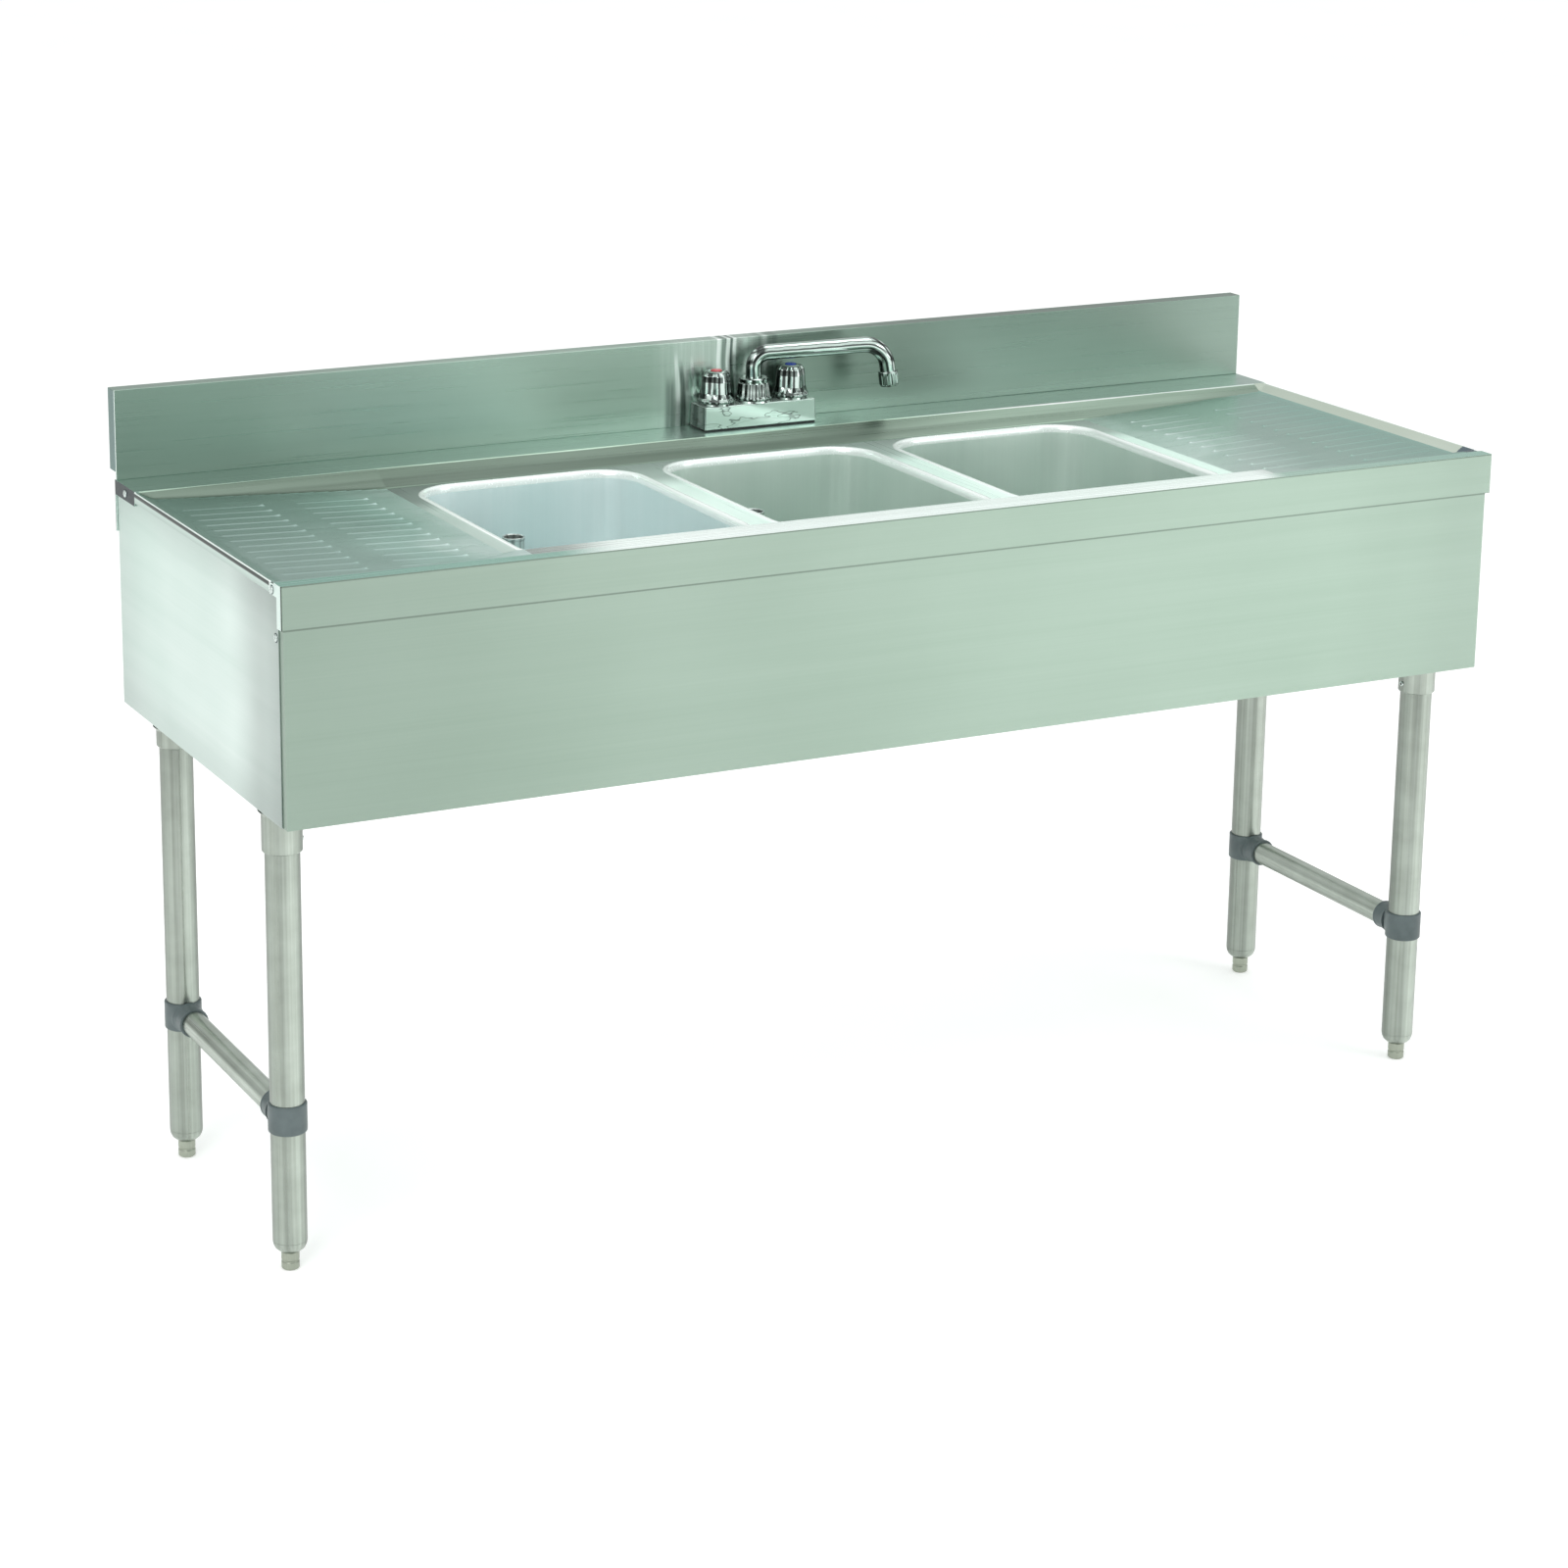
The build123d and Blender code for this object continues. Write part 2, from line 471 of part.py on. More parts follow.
# ------------------------------------------------------------- small screws
scr = []
for s in (-1, 1):
    for yy, zz, face in ((504.0, Z_TOP - 9.0, LENGTH / 2), (25.0, Z_TOP - 8.5, LENGTH / 2),
                         (21.0, Z_TOP - NOSE_H - 12.0, XS + T)):
        lo, hi = sorted((s * face, s * (face + 1.6)))
        scr.append(cyl_x(yy, zz, lo, hi, 4.2))
keep("apron_screws", *scr)

# -------------------------------------------------------------------- write
for name, solids in NODES.items():
    shape = solids[0] if len(solids) == 1 else Compound(children=solids)
    shape.label = name
    export_step(shape, "parts/" + name + ".step")
print(len(NODES), "nodes,", sum(len(v) for v in NODES.values()), "solids")
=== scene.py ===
import bpy
import bmesh
import math
from mathutils import Vector, Matrix, noise


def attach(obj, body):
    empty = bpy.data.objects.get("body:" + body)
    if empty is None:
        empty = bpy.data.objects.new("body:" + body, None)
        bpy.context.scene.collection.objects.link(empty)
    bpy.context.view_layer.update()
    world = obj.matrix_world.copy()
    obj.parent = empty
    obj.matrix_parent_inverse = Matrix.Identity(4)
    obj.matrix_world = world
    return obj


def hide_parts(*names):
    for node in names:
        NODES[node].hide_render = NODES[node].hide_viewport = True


# Looks for the three-bowl underbar sink. Lengths in the shape code are in
# millimetres, with the depth measured from the front face, and are turned
# into metres of the shared frame when a mesh is finished.

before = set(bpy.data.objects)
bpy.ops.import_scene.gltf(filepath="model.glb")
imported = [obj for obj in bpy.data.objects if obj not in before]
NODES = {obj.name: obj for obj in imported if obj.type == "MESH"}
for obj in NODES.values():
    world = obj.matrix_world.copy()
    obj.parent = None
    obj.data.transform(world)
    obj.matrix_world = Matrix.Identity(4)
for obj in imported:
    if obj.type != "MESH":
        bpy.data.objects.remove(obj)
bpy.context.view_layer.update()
scene = bpy.context.scene
pi = math.pi

YR = 279.0
Z_TOP, Z_DECK, Z_FLOOR = 788.0, 770.0, 532.0
X_DECK, X_FOOT = 470.0, 744.0
BOWL_W, BOWL_Y0, BOWL_Y1, BOWL_R, PITCH = 267.0, 72.0, 428.0, 50.0, 310.0
FX, FY, VALVE = 40.0, 513.0, 50.8
SPOUT_R = 9.75
LEG_X, LEG_YF, LEG_YR = 735.0, 84.0, 429.0
TEE_Z = 177.0


# ------------------------------------------------------------------ materials
def lin(c):
    out = []
    for v in c:
        v = v / 255.0
        out.append(v / 12.92 if v <= 0.04045 else ((v + 0.055) / 1.055) ** 2.4)
    return (out[0], out[1], out[2], 1.0)


def new_mat(name):
    m = bpy.data.materials.new(name)
    m.use_nodes = True
    nt = m.node_tree
    nt.nodes.clear()
    out = nt.nodes.new("ShaderNodeOutputMaterial")
    b = nt.nodes.new("ShaderNodeBsdfPrincipled")
    nt.links.new(b.outputs[0], out.inputs[0])
    return m, nt, b


def node(nt, kind, **kw):
    n = nt.nodes.new(kind)
    for k, v in kw.items():
        if k in n.inputs:
            n.inputs[k].default_value = v
        else:
            setattr(n, k, v)
    return n


def noise_tex(nt, vec, scale, detail=3.0, rough=0.55, stretch=None, rot=None):
    src = vec
    if stretch is not None:
        mp = nt.nodes.new("ShaderNodeMapping")
        mp.inputs["Scale"].default_value = stretch
        if rot is not None:
            mp.inputs["Rotation"].default_value = rot
        nt.links.new(src, mp.inputs["Vector"])
        src = mp.outputs[0]
    t = nt.nodes.new("ShaderNodeTexNoise")
    t.inputs["Scale"].default_value = scale
    t.inputs["Detail"].default_value = detail
    t.inputs["Roughness"].default_value = rough
    nt.links.new(src, t.inputs["Vector"])
    return t.outputs[0]


def ramp(nt, fac, stops, interp="LINEAR"):
    r = nt.nodes.new("ShaderNodeValToRGB")
    r.color_ramp.interpolation = interp
    el = r.color_ramp.elements
    while len(el) < len(stops):
        el.new(0.5)
    for e, (p, c) in zip(el, stops):
        e.position = p
        e.color = c if len(c) == 4 else (c[0], c[1], c[2], 1.0)
    nt.links.new(fac, r.inputs[0])
    return r.outputs[0]


def map_range(nt, v, a, b, c, d, smooth=False):
    n = nt.nodes.new("ShaderNodeMapRange")
    if smooth:
        n.interpolation_type = "SMOOTHSTEP"
    n.inputs["From Min"].default_value = a
    n.inputs["From Max"].default_value = b
    n.inputs["To Min"].default_value = c
    n.inputs["To Max"].default_value = d
    nt.links.new(v, n.inputs[0])
    return n.outputs[0]


def mix(nt, fac, a, b, kind="MIX"):
    n = nt.nodes.new("ShaderNodeMix")
    n.data_type = "RGBA"
    n.blend_type = kind
    for val, idx in ((fac, 0), (a, 6), (b, 7)):
        if hasattr(val, "links") or isinstance(val, bpy.types.NodeSocket):
            nt.links.new(val, n.inputs[idx])
        else:
            n.inputs[idx].default_value = val
    return n.outputs[2]


def math_node(nt, op, a, b):
    n = nt.nodes.new("ShaderNodeMath")
    n.operation = op
    for val, idx in ((a, 0), (b, 1)):
        if isinstance(val, bpy.types.NodeSocket):
            nt.links.new(val, n.inputs[idx])
        else:
            n.inputs[idx].default_value = val
    return n.outputs[0]


BRUSH = {
    "X": (3.0, 420.0, 420.0),
    "Y": (420.0, 3.0, 420.0),
    "Z": (420.0, 420.0, 3.0),
}


def steel(name, dark, light, rough=0.32, brush="X", bump=0.10, aniso=0.0, tangent=None,
          cloud=(2.2, 3.0, 2.2), spread=0.5, painted_light_grads=(), streak=0.45, speck=0.0, metal=1.0,
          marks=None, lines=()):
    """Brushed stainless: stretched grain, slow cloudy tone, and painted light and shade as tone gradients locked to the
    sheet."""
    m, nt, b = new_mat(name)
    tc = nt.nodes.new("ShaderNodeTexCoord")
    vec = tc.outputs["Object"]
    fine = noise_tex(nt, vec, 1.0, 4.0, 0.6, BRUSH[brush])
    mid = noise_tex(nt, vec, 1.0, 3.0, 0.5, tuple(v * (0.12 if v > 10 else 0.5) for v in BRUSH[brush]))
    slow = noise_tex(nt, vec, 1.0, 2.0, 0.5, cloud)
    f = math_node(nt, "MULTIPLY", fine, streak * 0.55)
    g = math_node(nt, "MULTIPLY", mid, streak * 0.45)
    h = math_node(nt, "MULTIPLY", slow, 1.0 - streak)
    s = math_node(nt, "ADD", math_node(nt, "ADD", f, g), h)
    col = ramp(nt, s, [(0.5 - spread * 0.36, dark), (0.5 + spread * 0.36, light)])
    if painted_light_grads or speck:
        sep = nt.nodes.new("ShaderNodeSeparateXYZ")
        nt.links.new(vec, sep.inputs[0])
        # painted light and shade: tone gradients along an axis of the sheet
        for axis, stops in painted_light_grads:
            a, c = stops[0][0], stops[-1][0]
            fac = map_range(nt, sep.outputs[axis], a, c, 0.0, 1.0)
            wob = math_node(nt, "ADD", fac, math_node(nt, "MULTIPLY", math_node(nt, "SUBTRACT", slow, 0.5), 0.16))
            gcol = ramp(nt, wob, [((p - a) / (c - a), (v, v, v, 1) if not isinstance(v, tuple) else v)
                                  for p, v in stops], "EASE")
            col = mix(nt, 1.0, col, gcol, "MULTIPLY")
    for axis, lo, hi, soft, k in lines:
        # a fine line of shade along a fold or a lap
        sl = nt.nodes.new("ShaderNodeSeparateXYZ")
        nt.links.new(vec, sl.inputs[0])
        mask = math_node(nt, "MULTIPLY", map_range(nt, sl.outputs[axis], lo - soft, lo, 0.0, 1.0),
                         map_range(nt, sl.outputs[axis], hi, hi + soft, 1.0, 0.0))
        col = mix(nt, mask, col, mix(nt, 1.0, col, (k, k, k, 1), "MULTIPLY"))
    if marks:
        # painted reflection streaks, bright and dark, on the splash behind the faucet: each is (middle, half width,
        # lowest z, highest z, strength, bright)
        sp = nt.nodes.new("ShaderNodeSeparateXYZ")
        nt.links.new(vec, sp.inputs[0])
        sway = noise_tex(nt, vec, 1.0, 1.0, 0.4, (7.0, 2.0, 9.0))
        xs = math_node(nt, "ADD", sp.outputs[0], math_node(nt, "MULTIPLY", math_node(nt, "SUBTRACT", sway, 0.5), 0.022))
        hair = noise_tex(nt, vec, 1.0, 3.0, 0.6, (240.0, 4.0, 5.0))
        for cx, hw, z0, z1, power, bright in marks:
            off = math_node(nt, "ABSOLUTE", math_node(nt, "SUBTRACT", xs, cx), 0.0)
            across = map_range(nt, off, hw * 0.45, hw * 1.15, 1.0, 0.0, True)
            below = map_range(nt, sp.outputs[2], z0 - 0.012, z0 + 0.012, 0.0, 1.0, True)
            above = map_range(nt, sp.outputs[2], z1 - 0.012, z1 + 0.012, 1.0, 0.0, True)
            mask = math_node(nt, "MULTIPLY", math_node(nt, "MULTIPLY", across, below), above)
            mask = math_node(nt, "MULTIPLY", mask, map_range(nt, hair, 0.35, 0.60, power * 0.45, power))
            # bright streaks are painted highlight, dark ones painted dark reflection
            col = mix(nt, mask, col, (0.93, 1.0, 0.97, 1) if bright else (0.035, 0.06, 0.055, 1))
    nt.links.new(col, b.inputs["Base Color"])
    nt.links.new(map_range(nt, fine, 0.25, 0.75, rough - 0.06, rough + 0.09), b.inputs["Roughness"])
    b.inputs["Metallic"].default_value = metal
    if aniso:
        b.inputs["Anisotropic"].default_value = aniso
        b.inputs["Anisotropic Rotation"].default_value = 0.25
        tg = nt.nodes.new("ShaderNodeTangent")
        tg.direction_type = "RADIAL"
        tg.axis = tangent or "Z"
        nt.links.new(tg.outputs[0], b.inputs["Tangent"])
    bn = nt.nodes.new("ShaderNodeBump")
    bn.inputs["Strength"].default_value = bump
    bn.inputs["Distance"].default_value = 0.0004
    hgt = fine
    if speck:
        sp = noise_tex(nt, vec, 900.0, 2.0, 0.5)
        hgt = math_node(nt, "ADD", fine, math_node(nt, "MULTIPLY", sp, speck))
    nt.links.new(hgt, bn.inputs["Height"])
    nt.links.new(bn.outputs[0], b.inputs["Normal"])
    return m


def chrome(name, tint, rough=0.05, marks=0.02, bands=True, wavy_reflection=False, metal=1.0,
           depth=1.0):
    m, nt, b = new_mat(name)
    tc = nt.nodes.new("ShaderNodeTexCoord")
    vec = tc.outputs["Object"]
    n1 = noise_tex(nt, vec, 60.0, 3.0)
    n2 = noise_tex(nt, vec, 900.0, 2.0)
    col = ramp(nt, n1, [(0.3, tuple(c * 0.93 for c in tint[:3]) + (1,)), (0.7, tint)])
    if bands:
        # painted reflection: bright and dark bands by the way the surface faces, in the object's own frame
        geo = nt.nodes.new("ShaderNodeNewGeometry")
        sp = nt.nodes.new("ShaderNodeSeparateXYZ")
        nt.links.new(geo.outputs["Normal"], sp.inputs[0])
        wob = math_node(nt, "MULTIPLY", math_node(nt, "SUBTRACT", n1, 0.5), 0.10)
        fz = math_node(nt, "ADD", map_range(nt, sp.outputs[2], -1.0, 1.0, 0.0, 1.0), wob)
        fx = math_node(nt, "ADD", map_range(nt, sp.outputs[0], -1.0, 1.0, 0.0, 1.0), wob)
        g = lambda v: (v, v * 1.02, v * 1.01)
        rz = ramp(nt, fz, [(0.00, g(0.40)), (0.10, g(0.22)), (0.20, g(0.90)), (0.30, g(0.50)), (0.36, g(0.10)),
                           (0.42, g(0.95)), (0.55, g(0.97)), (0.60, g(0.12)), (0.64, g(0.22)), (0.68, g(1.0)),
                           (0.77, g(0.97)), (0.81, g(0.10)), (0.84, g(0.24)), (0.88, g(1.0)), (0.94, g(0.90)),
                           (0.975, g(0.42)), (1.00, g(0.62))])
        rx = ramp(nt, fx, [(0.00, g(0.13)), (0.07, g(0.08)), (0.12, g(0.85)), (0.18, g(1.0)), (0.23, g(0.09)),
                           (0.33, g(0.12)), (0.38, g(0.92)), (0.47, g(1.0)), (0.55, g(0.92)), (0.60, g(0.09)),
                           (0.66, g(0.16)), (0.70, g(1.0)), (0.78, g(0.62)), (0.83, g(0.07)), (0.90, g(0.80)),
                           (0.96, g(0.55)), (1.00, g(0.18))])
        col = mix(nt, depth, col, rz, "MULTIPLY")
        col = mix(nt, depth, col, rx, "MULTIPLY")
    if wavy_reflection:
        # painted reflection: thin wavy dark lines, as flat plated faces show
        n3 = noise_tex(nt, vec, 1.0, 3.0, 0.55, (15.0, 15.0, 48.0))
        g = lambda v: (v, v * 1.04, v * 1.02)
        line = ramp(nt, n3, [(0.0, g(0.97)), (0.535, g(0.97)), (0.550, g(0.22)), (0.566, g(0.97)), (0.60, g(0.80)),
                             (0.625, g(0.97)), (1.0, g(0.97))])
        col = mix(nt, 1.0, col, line, "MULTIPLY")
    nt.links.new(col, b.inputs["Base Color"])
    nt.links.new(map_range(nt, n1, 0.3, 0.75, rough * 0.7, rough * 1.7), b.inputs["Roughness"])
    b.inputs["Metallic"].default_value = metal
    bn = nt.nodes.new("ShaderNodeBump")
    bn.inputs["Strength"].default_value = marks
    bn.inputs["Distance"].default_value = 0.0005
    nt.links.new(mix_height(nt, n1, n2), bn.inputs["Height"])
    nt.links.new(bn.outputs[0], b.inputs["Normal"])
    return m


def mix_height(nt, a, b):
    return math_node(nt, "ADD", a, math_node(nt, "MULTIPLY", b, 0.15))


def plastic(name, dark, light, rough=0.42, grain=900.0, bump=0.12, metal=0.0, spec=0.5):
    m, nt, b = new_mat(name)
    tc = nt.nodes.new("ShaderNodeTexCoord")
    vec = tc.outputs["Object"]
    n1 = noise_tex(nt, vec, 35.0, 4.0)
    n2 = noise_tex(nt, vec, grain, 2.0)
    nt.links.new(ramp(nt, n1, [(0.32, dark), (0.68, light)]), b.inputs["Base Color"])
    nt.links.new(map_range(nt, n2, 0.3, 0.7, rough - 0.05, rough + 0.08), b.inputs["Roughness"])
    b.inputs["Metallic"].default_value = metal
    b.inputs["Specular IOR Level"].default_value = spec
    bn = nt.nodes.new("ShaderNodeBump")
    bn.inputs["Strength"].default_value = bump
    bn.inputs["Distance"].default_value = 0.0003
    nt.links.new(n2, bn.inputs["Height"])
    nt.links.new(bn.outputs[0], b.inputs["Normal"])
    return m


def tube_steel(name, dark, light, axis="Z", rough=0.30):
    """Satin tube: painted reflection bands along its length, whose tone follows the side the surface faces, plus fine
    grain."""
    m, nt, b = new_mat(name)
    tc = nt.nodes.new("ShaderNodeTexCoord")
    vec = tc.outputs["Object"]
    fine = noise_tex(nt, vec, 1.0, 4.0, 0.6, BRUSH[axis])
    wide = noise_tex(nt, vec, 1.0, 3.0, 0.5, tuple(v * (0.28 if v > 10 else 0.7) for v in BRUSH[axis]))
    mottled = noise_tex(nt, vec, 30.0, 4.0)
    geo = nt.nodes.new("ShaderNodeNewGeometry")
    sep = nt.nodes.new("ShaderNodeSeparateXYZ")
    nt.links.new(geo.outputs["Normal"], sep.inputs[0])
    side = sep.outputs[0] if axis == "Z" else sep.outputs[2]
    other = sep.outputs[1] if axis == "Z" else sep.outputs[0]
    # side runs -1..1 across the tube as seen from the front
    ka, kb = (0.9, -0.44) if axis == "Z" else (0.5, -0.3)
    t = math_node(nt, "ADD", math_node(nt, "MULTIPLY", side, ka), math_node(nt, "MULTIPLY", other, kb))
    # painted reflection: dark edges and a lighter stripe right of centre, by facing side
    band = ramp(nt, map_range(nt, t, -1.0, 1.0, 0.0, 1.0), [
        (0.00, (0.50, 0.50, 0.50)), (0.12, (0.78, 0.78, 0.78)), (0.30, (0.92, 0.92, 0.92)),
        (0.47, (0.74, 0.74, 0.74)), (0.60, (0.92, 0.92, 0.92)), (0.72, (1.12, 1.12, 1.12)),
        (0.84, (1.10, 1.10, 1.10)), (0.94, (0.90, 0.90, 0.90)), (1.00, (0.50, 0.50, 0.50))])
    s = math_node(nt, "ADD", math_node(nt, "MULTIPLY", fine, 0.4),
                  math_node(nt, "ADD", math_node(nt, "MULTIPLY", wide, 0.35),
                            math_node(nt, "MULTIPLY", mottled, 0.25)))
    col = ramp(nt, s, [(0.34, dark), (0.66, light)])
    col = mix(nt, 1.0, col, band, "MULTIPLY")
    nt.links.new(col, b.inputs["Base Color"])
    nt.links.new(map_range(nt, wide, 0.25, 0.75, rough - 0.05, rough + 0.10), b.inputs["Roughness"])
    b.inputs["Metallic"].default_value = 1.0
    bn = nt.nodes.new("ShaderNodeBump")
    bn.inputs["Strength"].default_value = 0.12
    bn.inputs["Distance"].default_value = 0.0004
    nt.links.new(fine, bn.inputs["Height"])
    nt.links.new(bn.outputs[0], b.inputs["Normal"])
    return m


# painted shade: the apron darkens towards the left end, a little at the right end and at the bottom, with fine painted
# shade lines at the left fold, under the nosing and along the top
M_APRON = steel("apron_brushed", lin((166, 187, 172)), lin((184, 203, 190)), 0.36, "X", 0.10,
                painted_light_grads=((0, ((-0.76, 0.71), (-0.30, 0.84), (0.15, 0.95), (0.50, 1.0), (0.62, 0.95), (0.76, 0.87))),
                       (2, ((0.52, 0.95), (0.66, 1.0), (0.80, 1.0)))),
                lines=((0, -0.7640, -0.7607, 0.0003, 0.30), (2, 0.7390, 0.7411, 0.0008, 0.62),
                       (2, 0.7866, 0.7890, 0.0003, 0.60)))
# painted light: the nosing top is a near-white painted reflection between the drainboards and painted dark green shade
# over them
M_NOSE_TOP = steel("nosing_top", lin((236, 249, 245)), lin((250, 255, 253)), 0.26, "X", 0.04, metal=0.25,
                   painted_light_grads=((0, ((-0.762, (0.18, 0.33, 0.28, 1)), (-0.44, (0.24, 0.41, 0.35, 1)), (-0.34, 0.96),
                               (0.425, 1.0), (0.455, (0.36, 0.50, 0.43, 1)), (0.762, (0.28, 0.44, 0.38, 1)))),))
M_SIDE = steel("end_brushed", lin((203, 222, 214)), lin((232, 243, 239)), 0.36, "Y", 0.10,
               cloud=(3.0, 3.4, 4.2),
               painted_light_grads=((1, ((-0.28, 0.56), (-0.21, 0.67), (-0.10, 0.96), (0.12, 0.98), (0.27, 0.84))),
                      (2, ((0.52, 0.80), (0.60, 0.95), (0.72, 1.0), (0.79, 0.80)))))
# painted light: a lighter copy of the apron steel for the end folds and some low ledge faces
M_RETURN = steel("end_fold_painted_light", lin((206, 224, 217)), lin((230, 242, 238)), 0.34, "Z", 0.06)
# painted shade: a dark copy of the steel on the rounded corner bends at the apron ends
M_CORNER_SHADE = steel("corner_bend_painted_shade", lin((64, 84, 92)), lin((92, 116, 124)), 0.30, "Z", 0.04)
# painted shade: the splash darkens towards the right and low down; its streaks are painted reflections
M_SPLASH = steel("splash_brushed", lin((171, 196, 182)), lin((190, 213, 200)), 0.30, "X", 0.06, aniso=0.6,
                 streak=0.30,
                 tangent="Z", painted_light_grads=((0, ((-0.76, 0.80), (-0.62, 0.76), (-0.30, 0.92), (-0.08, 0.90), (0.10, 0.70),
                                          (0.30, 0.45), (0.50, 0.46), (0.76, 0.53))),
                                     (2, ((0.79, 0.92), (0.84, 1.0), (0.89, 0.97)))),
                 marks=((0.0, 0.085, 0.770, 0.900, 0.34, True),
                        (-0.0620, 0.0075, 0.770, 0.846, 0.62, False), (-0.0520, 0.0032, 0.770, 0.874, 1.00, True),
                        (-0.0455, 0.0036, 0.770, 0.862, 0.80, False), (-0.0385, 0.0040, 0.770, 0.856, 0.60, True),
                        (-0.0300, 0.0028, 0.800, 0.866, 0.90, True), (-0.0230, 0.0034, 0.770, 0.850, 0.60, False),
                        (0.0065, 0.0036, 0.815, 0.905, 1.00, True), (0.0130, 0.0032, 0.805, 0.905, 0.85, False),
                        (0.0188, 0.0028, 0.805, 0.905, 0.75, True), (0.0233, 0.0020, 0.805, 0.905, 0.88, False),
                        (0.0275, 0.0028, 0.825, 0.905, 1.00, True), (0.0340, 0.0050, 0.800, 0.850, 0.50, True),
                        (0.0610, 0.0022, 0.790, 0.905, 0.45, False), (0.0680, 0.0036, 0.790, 0.905, 0.40, True),
                        (0.0780, 0.0075, 0.790, 0.905, 0.42, False)))
M_BACK = steel("splash_back", lin((160, 184, 171)), lin((182, 204, 192)), 0.34, "X", 0.08)
# painted shade: a dark copy of the splash steel on its end faces
M_SPLASH_END = steel("splash_end_painted_shade", lin((88, 116, 112)), lin((112, 140, 136)), 0.30, "Z", 0.05)
# painted shade: the ledge darkens towards both ends
M_LEDGE = steel("ledge_brushed", lin((196, 220, 211)), lin((220, 238, 231)), 0.30, "X", 0.03,
                painted_light_grads=((0, ((-0.76, 0.76), (-0.40, 0.84), (-0.15, 0.98), (0.10, 0.97), (0.45, 0.80), (0.76, 0.78))),))
# painted shade: a near-black copy of the ledge steel on its end faces
M_LEDGE_END = steel("ledge_end_painted_shade", lin((14, 30, 34)), lin((26, 44, 48)), 0.34, "X", 0.08, metal=0.8)
# painted light and shade: the deck is brighter at the front and darkens to the rear and at the left end
M_BEVEL = steel("deck_brushed", lin((212, 238, 228)), lin((238, 253, 246)), 0.30, "Y", 0.05, metal=0.3,
                painted_light_grads=((1, ((-0.22, 1.12), (0.03, 1.08), (0.095, 0.52), (0.165, 0.42))),
                       (0, ((-0.475, 0.55), (-0.45, 0.62), (-0.30, 0.86), (-0.10, 1.0), (0.475, 1.0)))))
# painted light: the front strip is a near-white painted reflection, with painted shade at both ends
M_STRIP = steel("strip_painted_light", lin((236, 250, 245)), lin((250, 255, 253)), 0.24, "X", 0.04, metal=0.25,
                painted_light_grads=((0, ((-0.475, 0.32), (-0.43, 0.38), (-0.34, 0.96), (0.430, 1.0), (0.475, 0.50))),))
M_EDGE = steel("edge_shadow", lin((98, 122, 110)), lin((122, 148, 134)), 0.34, "X", 0.03,
               painted_light_grads=((0, ((-0.76, 0.80), (0.0, 0.85), (0.76, 1.1))),))
# painted highlight and shade: the nosing's top bend is dark at the left and grows bright to the right
M_EDGE_TOP = steel("edge_painted_highlight", lin((150, 172, 160)), lin((174, 196, 184)), 0.30, "X", 0.03, metal=0.6,
                   painted_light_grads=((0, ((-0.76, 0.42), (-0.45, 0.50), (-0.25, 0.95), (0.30, 1.5), (0.76, 1.9))),))
# painted light and shade: the boards are brighter next to the bowls and darken towards the outer ends
M_BOARD = steel("board_brushed", lin((180, 213, 204)), lin((204, 232, 224)), 0.30, "X", 0.08,
                cloud=(4.0, 4.0, 2.0), metal=0.92,
                painted_light_grads=((0, ((-0.762, 0.60), (-0.62, 0.68), (-0.54, (0.80, 0.82, 0.82, 1)), (-0.502, (1.06, 0.98, 1.01, 1)),
                            (-0.478, (1.24, 1.08, 1.14, 1)), (0.478, (1.24, 1.06, 1.11, 1)),
                            (0.500, (0.96, 0.88, 0.89, 1)), (0.58, (0.69, 0.70, 0.68, 1)),
                            (0.762, (0.51, 0.62, 0.59, 1)))),))
# painted light on the right board's side bevel and painted shade on its front corner, as copies of the board steel
M_BAND = steel("board_side_painted_light", lin((196, 208, 194)), lin((214, 224, 212)), 0.34, "Y", 0.04)
M_BOARD_SHADE = steel("board_corner_painted_shade", lin((82, 98, 108)), lin((104, 120, 128)), 0.32, "Y", 0.04)
# painted highlight: a near-white copy of the steel on rims and rounded top edges
M_RIM = steel("rim_painted_highlight", lin((232, 243, 239)), lin((249, 253, 251)), 0.24, "Y", 0.03, metal=0.4)
# painted shade: a dark band just under the rim on the board's side flange
M_FLANGE = steel("flange_brushed", lin((176, 196, 188)), lin((204, 220, 213)), 0.30, "Y", 0.06,
                 painted_light_grads=((2, ((0.7750, 0.85), (0.7812, 1.0), (0.7826, 0.10), (0.7856, 0.06), (0.7864, 1.0))),))
# painted light and shade: a dark band low on the rear slopes, a painted highlight at the top edge, brighter towards the
# right
M_SLOPE = steel("slope_brushed", lin((160, 184, 166)), lin((192, 214, 198)), 0.30, "X", 0.03,
                cloud=(3.0, 60.0, 60.0),
                painted_light_grads=((2, ((0.7690, 0.62), (0.7704, 0.66), (0.7714, 0.38), (0.7775, 0.37), (0.7800, 0.44),
                            (0.7866, 0.45), (0.7874, 1.3), (0.7882, 1.4))),
                       (0, ((-0.76, 0.98), (-0.20, 1.0), (0.12, 1.2), (0.38, 2.0), (0.60, 2.0), (0.76, 1.5)))))
# painted light and shade: lit and shaded copies of one bowl steel
M_BOWL = steel("bowl_satin", lin((218, 235, 234)), lin((239, 248, 248)), 0.34, "Z", 0.03, cloud=(5.0, 5.0, 3.0),
               metal=0.60, streak=0.25)
M_BOWL_SHADED = steel("bowl_satin_shaded", lin((200, 217, 209)), lin((222, 235, 228)), 0.34, "Z", 0.03, cloud=(5.0, 5.0, 3.0),
                 metal=0.64, streak=0.25)
